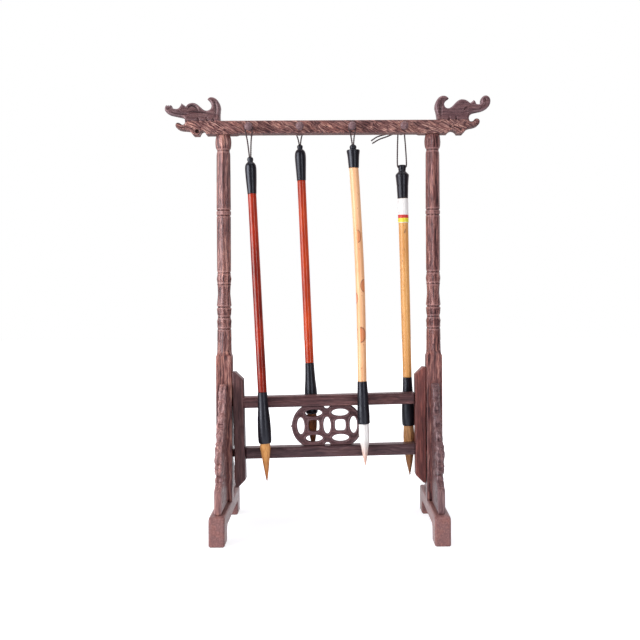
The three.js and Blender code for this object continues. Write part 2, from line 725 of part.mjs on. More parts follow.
function tuftSolid(brush, at) {
  const { hair } = brush;
  const root = hair.root / 2 - clearance;
  const belly = hair.belly / 2;
  const long = hair.length;
  const foot = at.ferruleFoot;
  return turn([
    [0, at.tip], [belly * 0.12, at.tip + long * 0.06],
    [belly * hair.taper[0], at.tip + long * 0.25], [belly * hair.taper[1], at.tip + long * 0.5],
    [belly * 0.97, at.tip + long * (1 - 2 * hair.bellyAt)],
    [belly, at.tip + long * (1 - hair.bellyAt)], [root, foot - clearance],
    [root, foot + hairRoot], [0, foot + hairRoot],
  ], brushSides);
}

// The loop goes up from the knob, over the shank and down again.
function loopPoints(brush, at) {
  const over = pegShank / 2 + cordDiameter / 2 + 2 * clearance;
  const arch = [0, 1, 2, 3, 4].map((i) => {
    const angle = Math.PI * (1 - i / 4);
    return [over * Math.cos(angle), 0, over * Math.sin(angle)];
  });
  const apart = brush.knob.kind === 'spool'
    ? brush.knob.diameter / 2 + cordDiameter / 2 + clearance
    : (cordDiameter + clearance) / 2;
  const enter = at.knobTop;
  const spread = (1.6 * apart + over) / 2.6;
  const left = [
    [-apart, 0, enter + 1], [-spread, 0, enter * 0.5], [-over, 0, enter * 0.12],
  ];
  const right = left.map(([x, y, z]) => [-x, y, z]).reverse();
  return { left, arch, right, apart };
}

function loopSolid(brush, at) {
  const { left, arch, right, apart } = loopPoints(brush, at);
  if (brush.knob.kind !== 'spool') {
    const low = at.knobTop - cordEndDepth;
    return rod([[-apart, 0, low], ...left, ...arch, ...right, [apart, 0, low]], cordDiameter);
  }
  const eye = (at.knobTop + at.capTop) / 2;
  const mouth = brush.knob.diameter / 2 + clearance;
  const start = [[-0.3, 0, eye], [-mouth, 0, eye], [-apart - 0.1, 0, eye + 1.8]];
  const finish = [[apart + 0.1, 0, eye + 1.8], [mouth, 0, eye], [0.3, 0, eye]];
  const upLeft = rod([...start, ...left, ...arch.slice(0, 3)], cordDiameter);
  const upRight = rod([...arch.slice(2), ...right, ...finish], cordDiameter);
  const over = arch[4][0];
  const tie = [-over - 0.9, -1.3, -1.5];
  const knot = new THREE.SphereGeometry(cordDiameter * 1.3, 8, 6).translate(...tie);
  const tails = [
    [tie, [-13, -1.8, -2.8], [-23.8, -2.2, -5.4], [-30.9, -2.2, -9.6]],
    [tie, [-14.8, -1.4, -5.6], [-22.6, -1.6, -8.2], [-29.7, -1.6, -12.2]],
  ];
  return carve(upLeft, [upRight, knot, ...tails.map((t) => rod(t, cordDiameter, 8, 4))], []);
}

function bandSolid(brush, at) {
  const inner = brush.handleTop / 2 + clearance;
  const outer = inner + brush.band.thickness;
  const top = at.capFoot - 2 * clearance;
  const low = top - brush.band.length;
  return turn([[inner, low], [outer, low], [outer, top], [inner, top], [inner, low]], brushSides);
}

// Assembly

for (const [side, name] of [[-1, 'left'], [1, 'right']]) {
  place(group, `${name}_foot`, foot(), wood, side * postX);
  place(group, `${name}_post`, post(-side), wood, side * postX);
  place(group, `side_board_${name}`, standingBoard(side), wood);
  for (const [way, end] of [[-1, 'front'], [1, 'back']]) {
    const stay = place(group, `bracket_${name}_${end}`, bracket(), wood, side * postX);
    if (way < 0) stay.rotation.z = Math.PI;
  }
}

place(group, 'lower_rail', rail(lowerRailBottom, 1), wood);
place(group, 'upper_rail', rail(upperRailBottom, -1), wood);
const panelLevel = lowerRailBottom + railHeight + railGap / 2;
place(group, 'coin_panel', coinPanel(), wood, coinShift, 0, panelLevel);

place(group, 'beam', beam(), wood);
place(group, 'dragon_head_right', head(heads.right), wood, 0, 0, beamTop + clearance);
place(group, 'dragon_head_left', head(heads.left), wood, 0, 0, beamTop + clearance)
  .rotation.z = Math.PI;

for (const [row, way] of [['front', -1], ['back', 1]]) {
  pegRows[row].forEach((x, i) => {
    place(group, `${row}_peg_${i + 1}`, turnedPeg(), peg, x, way * beamDepth / 2, pegAxis)
      .rotation.x = -way * Math.PI / 2;
  });
}

brushes.forEach((brush, i) => {
  const name = `brush_${i + 1}`;
  const at = levels(brush);
  const hung = new THREE.Group();
  hung.position.set(pegRows[brush.row][i], brush.row === 'front' ? -hangPlane : hangPlane, pegAxis);
  hung.rotation.y = -THREE.MathUtils.degToRad(brush.lean);
  place(hung, `${name}_cord`, loopSolid(brush, at), cordYarn);
  place(hung, `${name}_cap`, capSolid(brush, at), horn);
  place(hung, `${name}_handle`, handleSolid(brush, at), {
    colour: brush.colours.handle, roughness: 0.3,
  });
  place(hung, `${name}_ferrule`, ferruleSolid(brush, at), horn);
  place(hung, `${name}_tuft`, tuftSolid(brush, at), {
    colour: brush.colours.hair, roughness: 0.8,
  });
  if (brush.band) place(hung, `${name}_band`, bandSolid(brush, at), paper);
  group.add(hung);
});

export default group;
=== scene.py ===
# A standing rack of dark figured hardwood with four writing brushes hung from its pegs.
# Sizes are in millimetres, and become metres where a mesh is made.
import math

import bpy
import numpy as np
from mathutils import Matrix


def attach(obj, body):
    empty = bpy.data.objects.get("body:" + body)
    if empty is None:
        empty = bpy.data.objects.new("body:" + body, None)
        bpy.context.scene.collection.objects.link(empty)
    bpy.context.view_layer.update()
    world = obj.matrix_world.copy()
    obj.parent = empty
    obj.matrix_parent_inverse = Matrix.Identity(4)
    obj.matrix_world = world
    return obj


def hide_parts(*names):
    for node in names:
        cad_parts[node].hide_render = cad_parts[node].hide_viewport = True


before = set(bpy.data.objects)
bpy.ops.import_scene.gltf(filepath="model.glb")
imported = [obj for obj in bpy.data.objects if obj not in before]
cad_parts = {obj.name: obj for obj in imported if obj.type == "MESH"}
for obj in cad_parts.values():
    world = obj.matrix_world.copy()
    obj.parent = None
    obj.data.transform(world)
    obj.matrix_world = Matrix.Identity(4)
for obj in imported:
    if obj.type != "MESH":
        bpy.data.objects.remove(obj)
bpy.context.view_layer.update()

# Camera, lamps and floor. The view is level, from 889 mm before the posts, and the film is
# shifted a little down and to the left. Two tall softboxes stand left and right of the
# rack, and one hangs over it, on a white floor that runs into a white background. The
# gloss mirrors a room that is dark on the camera's side and pale on the far side, and a
# floor that is white under the rack and dark further out.
scene = bpy.context.scene
scene.view_settings.view_transform = "Standard"

camera_data = bpy.data.cameras.new("camera")
camera_data.sensor_width = 36
camera_data.lens = 50
camera_data.shift_x = -0.0166
camera_data.shift_y = -0.0547
camera = bpy.data.objects.new("camera", camera_data)
camera.location = (0.002, -0.889, 0.2416)
camera.rotation_euler = (math.radians(90), math.radians(0.3), 0)
scene.collection.objects.link(camera)
scene.camera = camera


def softbox(name, place, aim, width, height, power):
    """A rectangular lamp at a place, turned towards the point that it aims at."""
    data = bpy.data.lights.new(name, "AREA")
    data.shape = "RECTANGLE"
    data.size = width
    data.size_y = height
    data.energy = power
    lamp = bpy.data.objects.new(name, data)
    scene.collection.objects.link(lamp)
    to_lamp = np.array(place, float) - np.array(aim, float)
    reach = np.linalg.norm(to_lamp)
    lamp.location = place
    lamp.rotation_euler = (math.acos(to_lamp[2] / reach), 0,
                           math.atan2(to_lamp[1], to_lamp[0]) + math.pi / 2)


RACK_MIDDLE = (0, 0, 0.22)
softbox("left_softbox", (-0.95, -0.55, 0.35), RACK_MIDDLE, 0.8, 1.1, 17)
softbox("right_softbox", (0.52, -0.95, 0.35), RACK_MIDDLE, 0.2, 1.0, 3)
softbox("top_softbox", (0, -0.1, 1.3), (0, 0, 0.2), 0.9, 0.7, 3)


def srgb(red, green, blue):
    """A colour of 0 to 255 a channel, as it is picked on a screen, made linear."""
    parts = np.array([red, green, blue]) / 255
    linear = np.where(parts <= 0.04045, parts / 12.92, ((parts + 0.055) / 1.055) ** 2.4)
    return (*linear.tolist(), 1)


class Nodes:
    """A node tree with short calls that add its nodes and feed them."""

    def __init__(self, tree):
        self.tree = tree

    def feed(self, node, inputs):
        """Each input takes a number or colour, or is linked to the socket that is given."""
        for key, value in inputs.items():
            if isinstance(value, bpy.types.NodeSocket):
                self.tree.links.new(value, node.inputs[key])
            else:
                node.inputs[key].default_value = value

    def add(self, kind, inputs=None, **settings):
        """A node of this kind, with its settings made and its inputs fed."""
        node = self.tree.nodes.new("ShaderNode" + kind)
        for key, value in settings.items():
            setattr(node, key, value)
        self.feed(node, inputs or {})
        return node

    def calc(self, operation, first, second=0.0, third=0.0):
        """A sum worked out on one to three numbers."""
        inputs = {0: first, 1: second, 2: third}
        return self.add("Math", inputs, operation=operation).outputs[0]

    def vector(self, operation, first, second):
        """A sum worked out on two vectors."""
        return self.add("VectorMath", {0: first, 1: second}, operation=operation).outputs[0]

    def mix(self, share, first, second, mode="MIX"):
        """The first colour where share is 0 and the second where it is 1."""
        inputs = {0: share, 6: first, 7: second}
        return self.add("Mix", inputs, data_type="RGBA", blend_type=mode).outputs[2]

    def ramp(self, value, stops):
        """A colour read off a scale of (place, colour) stops."""
        node = self.add("ValToRGB", {0: value})
        scale = node.color_ramp.elements
        while len(scale) < len(stops):
            scale.new(0.5)
        for element, (place, colour) in zip(scale, stops):
            element.position = place
            element.color = colour
        return node.outputs[0]

    def step(self, value, start, end):
        """0 below start and 1 above end, with a soft slope between them."""
        inputs = {0: value, 1: start, 2: end, 3: 0.0, 4: 1.0}
        return self.add("MapRange", inputs, interpolation_type="SMOOTHSTEP").outputs[0]

    def noise(self, place, scale, detail=2.0, roughness=0.5):
        """A noise over the place: its first output is a number and "Color" a vector."""
        inputs = {"Vector": place, "Scale": scale, "Detail": detail, "Roughness": roughness}
        return self.add("TexNoise", inputs)

    def fibres(self, place, stretch, scale, detail=2.0, roughness=0.5):
        """A noise drawn out along the axis on which stretch is less than 1."""
        drawn_out = self.vector("MULTIPLY", place, stretch)
        return self.noise(drawn_out, scale, detail, roughness).outputs[0]

    def bump(self, height, strength, distance):
        """Normals as on a surface raised by height times distance, in metres."""
        inputs = {"Height": height, "Strength": strength, "Distance": distance}
        return self.add("Bump", inputs).outputs[0]


class Finish(Nodes):
    """A material: its nodes, its shader and the place of a point on the object."""

    def __init__(self, name):
        self.material = bpy.data.materials.new(name)
        self.material.use_nodes = True
        super().__init__(self.material.node_tree)
        self.shader = self.tree.nodes["Principled BSDF"]
        self.place = self.add("TexCoord").outputs["Object"]


world = bpy.data.worlds.new("white_room")
scene.world = world
world.use_nodes = True
world.node_tree.nodes.clear()
room = Nodes(world.node_tree)
rays = room.add("LightPath").outputs
towards = room.add("SeparateXYZ", {0: room.add("TexCoord").outputs["Generated"]}).outputs
behind = room.add("MapRange", {0: towards[1], 1: -0.35, 2: 0.75, 3: 0.06, 4: 0.85},
                  interpolation_type="SMOOTHSTEP").outputs[0]
ambient = room.add("Background", {"Color": (0.95, 0.96, 1, 1), "Strength": 0.54}).outputs[0]
mirrored = room.add("Background", {"Color": (1, 0.86, 0.88, 1), "Strength": behind}).outputs[0]
white = room.add("Background", {"Color": (1, 1, 1, 1)}).outputs[0]
unseen = room.add("MixShader", {0: rays["Is Glossy Ray"], 1: ambient, 2: mirrored}).outputs[0]
shown = room.add("MixShader", {0: rays["Is Camera Ray"], 1: unseen, 2: white}).outputs[0]
room.add("OutputWorld", {0: shown})

FLOOR_REACH = 3
floor_finish = Finish("white_floor")
away = floor_finish.add("VectorMath", {0: floor_finish.place}, operation="LENGTH").outputs["Value"]
glow = floor_finish.calc("MULTIPLY_ADD", floor_finish.step(away, 0.1, 0.42), 0.4, 0.68)
floor_rays = floor_finish.add("LightPath").outputs
far = floor_finish.step(away, 0.35, 1.1)
mirrored_far = floor_finish.calc("MULTIPLY", far, floor_rays["Is Glossy Ray"])
mirrored_near = floor_finish.calc("SUBTRACT", floor_rays["Is Glossy Ray"], mirrored_far)
shone = floor_finish.calc("MULTIPLY", glow, floor_rays["Is Camera Ray"])
floor_finish.feed(floor_finish.shader, {
    "Base Color": floor_finish.mix(mirrored_far, (0.6, 0.6, 0.64, 1), (0.1, 0.07, 0.07, 1)),
    "Roughness": 0.8, "Specular IOR Level": 0.0, "Emission Color": (1, 1, 1, 1),
    "Emission Strength": floor_finish.calc("MULTIPLY_ADD", mirrored_near, 0.5, shone),
})
floor_mesh = bpy.data.meshes.new("floor")
floor_corners = np.array([(-1, -1, 0), (1, -1, 0), (1, 1, 0), (-1, 1, 0)]) * FLOOR_REACH
floor_mesh.from_pydata(floor_corners.tolist(), [], [(0, 1, 2, 3)])
floor_mesh.materials.append(floor_finish.material)
floor = bpy.data.objects.new("floor", floor_mesh)
scene.collection.objects.link(floor)

# Cords: a loop of thin two-ply twisted cord on each brush. It comes out of the top of the
# cap, goes over the shank of a peg and back down into the cap. The fourth loop goes
# through the waist of a spool, and is tied by the peg with a knot that has two long tails.
MM = 0.001
PEG_AXIS = 397.85
PEG_ROWS = {"front": [-77.9, -27.6, 24, 75.3], "back": [-77.9, -29.1, 24, 74.5]}
HUNG_FROM = ["front", "back", "front", "back"]
PEG_PLACES = [PEG_ROWS[row][i] for i, row in enumerate(HUNG_FROM)]
ROWS = [-15.4 if row == "front" else 15.4 for row in HUNG_FROM]
LEANS = [2.7, 2.25, 1.95, 1.16]
# Drops from the axis of the peg to the top of the cap's knob, and the heights of the knobs.
LOOPS = [30.2, 13.6, 18.5, 34.5]
KNOB_HEIGHTS = [4.0, 4.6, 5.6, 5.6]
CORD_THICK = 1.5
# The middle of the cord runs over the peg at this radius.
CORD_OVER = 3.4


def hung(points, i):
    """Points of brush i, drawn about the axis of its peg, leant over about that axis by the
    brush's lean and carried to the peg."""
    x, y, z = np.moveaxis(np.asarray(points, float), -1, 0)
    lean = math.radians(LEANS[i])
    across = PEG_PLACES[i] + x * math.cos(lean) - z * math.sin(lean)
    upright = PEG_AXIS + x * math.sin(lean) + z * math.cos(lean)
    return np.stack([across, ROWS[i] + y, upright], -1)


def smooth_line(points, count):
    """Evenly spaced points on a Catmull-Rom curve: between two given points it is the cubic
    whose slope at each of them is half the way from the point before it to the one after."""
    points = np.asarray(points, float)
    ends = np.vstack([2 * points[0] - points[1], points, 2 * points[-1] - points[-2]])
    t = np.linspace(0, 1, 25)[:, None, None]
    before, start, stop, after = ends[:-3], ends[1:-2], ends[2:-1], ends[3:]
    curve = 0.5 * (2 * start + (stop - before) * t
                   + (2 * before - 5 * start + 4 * stop - after) * t ** 2
                   + (3 * start - before - 3 * stop + after) * t ** 3)
    line = np.vstack([curve.transpose(1, 0, 2)[:, :-1].reshape(-1, points.shape[1]), points[-1]])
    run = np.concatenate([[0], np.cumsum(np.linalg.norm(np.diff(line, axis=0), axis=1))])
    places = np.linspace(0, run[-1], count)
    return np.stack([np.interp(places, run, axis) for axis in line.T], -1)


def length_of(line):
    """The sum of the gaps between its points."""
    return float(np.linalg.norm(np.diff(line, axis=0), axis=1).sum())


def mesh_piece(name, points, faces, finish):
    """A smooth-shaded mesh object at the origin, from points in millimetres."""
    mesh = bpy.data.meshes.new(name)
    mesh.from_pydata((np.asarray(points) * MM).tolist(), [], faces)
    mesh.polygons.foreach_set("use_smooth", np.ones(len(mesh.polygons), bool))
    mesh.materials.append(finish)
    piece = bpy.data.objects.new(name, mesh)
    scene.collection.objects.link(piece)
    return piece


def skin(rings):
    """Points and faces of a closed skin over rings of points, an array of ring, corner and
    XYZ. Each end is closed with a fan round the middle of its ring."""
    count, sides = rings.shape[:2]
    grid = np.arange(count * sides).reshape(count, sides)
    turned = np.roll(grid, -1, axis=1)
    walls = np.stack([grid[:-1], turned[:-1], turned[1:], grid[1:]], -1).reshape(-1, 4)
    first, last = count * sides, count * sides + 1
    bottom = np.stack([np.full(sides, first), turned[0], grid[0]], -1)
    top = np.stack([np.full(sides, last), grid[-1], turned[-1]], -1)
    points = np.vstack([rings.reshape(-1, 3), rings[0].mean(0), rings[-1].mean(0)])
    return points, [*walls.tolist(), *bottom.tolist(), *top.tolist()]


def joined(skins):
    """Points and faces of several skins, as those of one piece."""
    points, faces, start = [], [], 0
    for more, added in skins:
        points.append(more)
        faces += [[corner + start for corner in face] for face in added]
        start += len(more)
    return np.vstack(points), faces


def twisted_cord(line, thick, pitch=3.8, sides=12):
    """Rings along a line whose radius swells towards two opposite sides, the sides turning
    once in a pitch: r = thick/2 times 0.76 + 0.24 of the cosine of the angle from a ply."""
    along = np.gradient(line, axis=0)
    along /= np.linalg.norm(along, axis=1, keepdims=True)
    side = np.array([0, 1, 0]) - along[:, 1:2] * along
    side /= np.linalg.norm(side, axis=1, keepdims=True)
    third = np.cross(along, side)
    angle = np.arange(sides) * 2 * math.pi / sides
    run = np.linspace(0, length_of(line), len(line))[:, None]
    radius = thick / 2 * (0.76 + 0.24 * np.abs(np.cos(angle - 2 * math.pi * run / pitch)))
    return (line[:, None] + (radius * np.cos(angle))[..., None] * side[:, None]
            + (radius * np.sin(angle))[..., None] * third[:, None])


def loop_route(i):
    """The loop's points about its peg: up from the knob, half round the shank, and down."""
    top = -LOOPS[i]
    spool = i == 3
    apart = 4.6 if spool else 0.75
    spread = (1.6 * apart + CORD_OVER) / 2.6
    left = [(-apart, 0, top + 1), (-spread, 0, top / 2), (-CORD_OVER, 0, top * 0.12)]
    turn = [(CORD_OVER * math.cos(math.pi * (1 - k / 4)), 0,
             CORD_OVER * math.sin(math.pi * (1 - k / 4))) for k in range(5)]
    eye = top - KNOB_HEIGHTS[i] / 2
    low = [(-1.2, 0, eye - 0.9), (-3.5, 0, eye + 0.1)] if spool else [(-apart, 0, top - 2.6)]
    half = low + left
    return half + turn + [(-x, y, z) for x, y, z in reversed(half)]


yarn = Finish("grey_brown_cord")
fuzz = yarn.noise(yarn.place, 2600.0, 3.0).outputs[0]
yarn.feed(yarn.shader, {
    "Base Color": yarn.ramp(fuzz, [(0.3, srgb(38, 22, 26)), (0.7, srgb(84, 60, 62))]),
    "Roughness": 0.8, "Sheen Weight": 0.15, "Sheen Roughness": 0.5,
    "Normal": yarn.bump(fuzz, 0.5, 0.0002),
})

for i in range(4):
    line = hung(smooth_line(loop_route(i), 260), i)
    cord = mesh_piece(f"brush_{i + 1}_loop", *skin(twisted_cord(line, CORD_THICK)), yarn.material)
    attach(cord, f"loop_{i + 1}")
    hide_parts(f"brush_{i + 1}_cord")

# The knot is two turns of cord round its middle, and the tails go out to the left of it.
KNOT = np.array([-4.4, -1.3, -1.5])
TAILS = [
    [KNOT, (-13, -1.8, -2.8), (-23.8, -2.2, -5.4), (-30.9, -2.2, -9.6)],
    [KNOT, (-14.8, -1.4, -5.6), (-22.6, -1.6, -8.2), (-29.7, -1.6, -12.2)],
]
lap_angle = np.linspace(0, 4 * math.pi, 60)
lap = np.stack([1.3 * np.cos(lap_angle), 1.1 * np.sin(lap_angle * 1.5),
                1.3 * np.sin(lap_angle)], -1) + KNOT
knot_parts = [smooth_line(tail, 120) for tail in TAILS] + [lap]
knot_skins = [skin(twisted_cord(hung(part, 3), CORD_THICK)) for part in knot_parts]
knot = mesh_piece("brush_4_knot", *joined(knot_skins), yarn.material)
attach(knot, "loop_4")

# Feet: a runner of dark hardwood under each post, along the depth of the rack. An arch is
# sawn out of its underside, its toes are rounded over, and all its edges are eased.
FOOT_X = 104.5
FOOT_THICK = 15
FOOT_HALF = 70
FOOT_HIGH = 27
ARCH_HALF = 48
ARCH_HIGH = 14
TOE_ROUND = 6


def trace(start, *moves, steps=8):
    """An outline from start through each move. A move of one point is a straight line, and
    one of two or three is a Bezier curve: its points weighted by Bernstein polynomials."""
    points = [np.array([start], float)]
    for move in moves:
        control = np.vstack([points[-1][-1:], move])
        degree = len(control) - 1
        t = np.linspace(0, 1, steps + 1 if degree > 1 else 2)[1:, None]
        weights = [math.comb(degree, k) * t ** k * (1 - t) ** (degree - k)
                   for k in range(degree + 1)]
        points.append(sum(w * c for w, c in zip(weights, control)))
    return np.vstack(points)


def nearest(points, starts, stops):
    """Distance from each point to the nearest of the segments, and the point there: the
    foot of the perpendicular, held between the segment's ends."""
    way = stops - starts
    share = ((points[:, None] - starts) * way).sum(-1) / np.maximum((way ** 2).sum(-1), 1e-12)
    feet = starts + np.clip(share, 0, 1)[..., None] * way
    gaps = np.linalg.norm(points[:, None] - feet, axis=-1)
    best = gaps.argmin(1)
    rows = np.arange(len(points))
    return gaps[rows, best], feet[rows, best]


def rounded_drop(gap, radius):
    """How far a face lies under its level beside the border: a quarter circle's sagitta."""
    short = radius - np.minimum(gap, radius)
    return radius - np.sqrt(radius ** 2 - short ** 2)


def mark(piece, word, values):
    """A number at each point of the piece, which its material reads by this word."""
    numbers = piece.data.attributes.new(word, "FLOAT", "POINT").data
    numbers.foreach_set("value", np.asarray(values).astype(np.float32))


def sawn_board(name, loops, thick, edge, step, facing, finish, carving=None, courses=1,
               highlight_amount=0.0):
    """A board sawn to closed loops of (u, v) points, an outline and its holes.

    Of a grid over the outline, the cells whose middle sees an odd number of crossings to
    its right are kept, and the corners on their border are drawn onto the loops. A face
    stands at half the thickness, less a quarter circle of radius edge near the border, and
    less carving(u, v, gap), where gap is the distance to the border. Walls of one or more
    courses of faces close the sides. Its material paints shade into the carving, and a
    highlight onto the edges as strong as the last argument says.
    """
    # The cells inside the loops
    starts = np.vstack(loops)
    stops = np.vstack([np.roll(loop, -1, axis=0) for loop in loops])
    low, high = starts.min(0), starts.max(0)
    cells = np.ceil((high - low) / step).astype(int)
    us = np.linspace(low[0], high[0], cells[0] + 1)
    vs = np.linspace(low[1], high[1], cells[1] + 1)
    mid_u, mid_v = np.meshgrid((us[1:] + us[:-1]) / 2, (vs[1:] + vs[:-1]) / 2, indexing="ij")
    inside = np.zeros(mid_u.shape, bool)
    for (u0, v0), (u1, v1) in zip(starts, stops):
        if v0 != v1:
            spans = (v0 > mid_v) != (v1 > mid_v)
            inside ^= spans & (mid_u < u0 + (mid_v - v0) * (u1 - u0) / (v1 - v0))

    # The corners of the cells, those on the border drawn onto it, with its sharp corners kept
    padded = np.pad(inside, 1)
    corner_cells = [padded[:-1, :-1], padded[1:, :-1], padded[:-1, 1:], padded[1:, 1:]]
    around = sum(c.astype(int) for c in corner_cells)
    used = around > 0
    number = np.full(used.shape, -1)
    number[used] = np.arange(used.sum())
    flat = np.stack(np.meshgrid(us, vs, indexing="ij"), -1)[used]
    border = (around < 4)[used]
    gap, foot = nearest(flat, starts, stops)
    flat[border] = foot[border]
    gap[border] = 0
    before = np.roll(starts, 1, axis=0) - starts
    after = stops - starts
    turn = np.abs(before[:, 0] * after[:, 1] - before[:, 1] * after[:, 0])
    sharp = starts[turn > 0.5 * np.linalg.norm(before, axis=1) * np.linalg.norm(after, axis=1)]
    rim = np.flatnonzero(border)
    for corner in sharp:
        reach = np.linalg.norm(flat[rim] - corner, axis=1)
        if reach.min() < step:
            flat[rim[reach.argmin()]] = corner

    # The levels of both faces and of the courses of the wall
    depth = np.zeros(len(flat)) if carving is None else carving(*flat.T, gap)
    level = np.maximum(thick / 2 - rounded_drop(gap, edge) - depth, 0.3)
    inner = np.maximum(level - 0.7, 0.15)
    total = len(flat)
    rows = [(flat, level), (flat, -level)]
    rows += [(flat[rim], inner[rim] * share) for share in np.linspace(1, -1, courses + 1)]
    board = np.vstack([np.column_stack([place, height]) for place, height in rows])

    # The faces of the cells, and walls from their outer sides
    rim_number = np.zeros(total, int)
    rim_number[rim] = np.arange(len(rim))
    quad = np.stack([number[:-1, :-1], number[1:, :-1], number[1:, 1:], number[:-1, 1:]], -1)
    quad = quad[inside]
    sides = np.concatenate([quad[:, [k, (k + 1) % 4]] for k in range(4)])
    code = sides[:, 0] * total + sides[:, 1]
    outer = sides[~np.isin(code, sides[:, 1] * total + sides[:, 0])]
    rings = [2 * total + k * len(rim) + rim_number[outer] for k in range(courses + 1)]
    levels = [outer, *rings, outer + total]
    walls = [np.column_stack([p[:, 0], q, p[:, 1]]) for p, q in zip(levels, levels[1:])]
    faces = np.concatenate([quad, quad[:, ::-1] + total, *walls]).tolist()
    u, v, n = board.T
    points = {"front": (u, -n, v), "side": (n, u, v)}[facing]
    piece = mesh_piece(name, np.stack(points, -1), faces, finish)

    # What the wood reads: how deep it is carved, which its material paints as shade, and how strong
    # the painted highlight on its edges is
    rim_highlight = highlight_amount * np.exp(-((gap - 0.8) / 0.7) ** 2) * (depth > -0.2)
    walled = len(board) - 2 * total
    mark(piece, "carved", np.concatenate([depth, depth, np.zeros(walled)]))
    mark(piece, "painted_highlight", np.concatenate([rim_highlight, rim_highlight, np.full(walled, highlight_amount * 0.3)]))
    return piece


def positions(piece):
    """The places of the piece's points, in metres."""
    place = np.empty(3 * len(piece.data.vertices))
    piece.data.vertices.foreach_get("co", place)
    return place.reshape(-1, 3)


def put(piece, place):
    """The piece's points put at these places, in metres, with its object left at the origin."""
    piece.data.vertices.foreach_set("co", place.ravel())
    piece.data.update()


def move(piece, across=0.0, upright=0.0):
    """The piece's mesh carried along X and Z."""
    put(piece, positions(piece) + np.array([across, 0, upright]) * MM)


WOOD_TONES = [
    (0.38, srgb(38, 20, 24)), (0.47, srgb(76, 46, 47)), (0.55, srgb(108, 72, 69)),
    (0.63, srgb(144, 105, 98)), (0.73, srgb(182, 146, 134)),
]


def hardwood(name, grain, seed, figure=1.0, shade=(1, 1, 1), contrast=1.0, slant=0.0,
             fine=1.0):
    """Dark hardwood, with pale streaks a millimetre wide that wander along the grain and short
    dark pores. Painted shade darkens it where the carved attribute is high, and a painted
    highlight makes it paler where the edge attribute is high. Grain is the axis that it
    runs along, slant turns it about Y, figure says how far it bends, fine how many times
    finer the streaks are, and shade multiplies the colour."""
    wood = Finish(name)
    turn = {"X": (0, slant, 0), "Y": (0, 0, -math.pi / 2), "Z": (0, math.pi / 2, 0)}[grain]
    rng = np.random.default_rng(seed)
    log = wood.add("Mapping", {"Vector": wood.place, "Rotation": turn,
                               "Location": tuple(rng.uniform(-1, 1, 3))}).outputs[0]

    def wander(vector, scale, stretch, reach):
        """The vector pushed sideways by a noise, up to reach metres."""
        slow = wood.vector("MULTIPLY", vector, (stretch, 1, 1))
        push = wood.noise(slow, scale, 2.0).outputs["Color"]
        push = wood.vector("SUBTRACT", push, (0.5, 0.5, 0.5))
        return wood.vector("ADD", vector, wood.vector("MULTIPLY", push, (0, reach, reach)))

    bent = wander(wander(log, 36.0, 0.8, 0.013 * figure), 170.0, 0.6, 0.0028 * figure)
    streaks = wood.fibres(bent, (0.05, 1, 1), 640.0 * fine, 4.0, 0.62)
    bands = wood.fibres(bent, (0.09, 1, 1), 190.0)
    pores = wood.fibres(bent, (0.06, 1, 1), 2200.0, 1.0)
    clouds = wood.noise(log, 26.0, 2.0).outputs[0]
    value = wood.calc("MULTIPLY_ADD", bands, 0.2, wood.calc("MULTIPLY", streaks, 1.05))
    value = wood.calc("ADD", value, wood.calc("MULTIPLY_ADD", clouds, 0.15, -0.155))
    value = wood.calc("MULTIPLY_ADD", value, contrast, 0.55 * (1 - contrast))
    colour = wood.ramp(value, WOOD_TONES)
    ruddy = wood.calc("MULTIPLY", wood.step(bands, 0.48, 0.66), 0.4)
    colour = wood.mix(ruddy, colour, (1.15, 0.9, 0.78, 1), mode="MULTIPLY")
    dark_pores = wood.step(pores, 0.58, 0.66)
    colour = wood.mix(wood.calc("MULTIPLY", dark_pores, 0.55 * contrast), colour,
                      srgb(34, 18, 22))
    # Painted shade: darker where the carved attribute marks carved hollows, ring grooves and the
    # stems under the peg heads
    carved = wood.add("Attribute", attribute_name="carved").outputs["Fac"]
    painted_shade = wood.calc("MULTIPLY", wood.step(carved, 0.2, 1.6), 0.75)
    colour = wood.mix(painted_shade, colour, srgb(30, 14, 17))
    # Painted highlight: paler pink where the edge attribute marks the edges of a board or the rims
    # beside a post's rings
    painted_highlight = wood.add("Attribute", attribute_name="painted_highlight").outputs["Fac"]
    colour = wood.mix(painted_highlight, colour, srgb(186, 150, 146))
    colour = wood.mix(1.0, colour, (*shade, 1), mode="MULTIPLY")
    relief = wood.calc("SUBTRACT", wood.calc("MULTIPLY", streaks, 0.7), dark_pores)
    shine = wood.calc("MULTIPLY_ADD", streaks, -0.25, 0.47)
    wood.feed(wood.shader, {
        "Base Color": colour, "Roughness": shine, "Specular IOR Level": 0.6,
        "Specular Tint": (1, 0.8, 0.84, 1),
        "Normal": wood.bump(relief, 0.4, 0.0003),
    })
    return wood.material


def foot_outline():
    """y along the foot and z up from the floor, from the front toe through the arch."""
    arch, top = ARCH_HIGH - TOE_ROUND, FOOT_HIGH - TOE_ROUND
    inner, outer = ARCH_HALF - TOE_ROUND, FOOT_HALF - TOE_ROUND
    return trace(
        (-FOOT_HALF, 0), [(-ARCH_HALF, 0)], [(-ARCH_HALF, arch)],
        [(-ARCH_HALF, ARCH_HIGH), (-inner, ARCH_HIGH)], [(inner, ARCH_HIGH)],
        [(ARCH_HALF, ARCH_HIGH), (ARCH_HALF, arch)], [(ARCH_HALF, 0)], [(FOOT_HALF, 0)],
        [(FOOT_HALF, top)], [(FOOT_HALF, FOOT_HIGH), (outer, FOOT_HIGH)],
        [(-outer, FOOT_HIGH)], [(-FOOT_HALF, FOOT_HIGH), (-FOOT_HALF, top)])


for side, word in ((-1, "left"), (1, "right")):
    foot = sawn_board(f"{word}_runner", [foot_outline()], FOOT_THICK, 1.4, 0.9, "side",
                      hardwood(f"{word}_foot_wood", "Y", 11 + side, 0.6, (1.5, 1.6, 1.62), 0.2))
    move(foot, side * FOOT_X)
    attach(foot, "stand")
    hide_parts(f"{word}_foot")

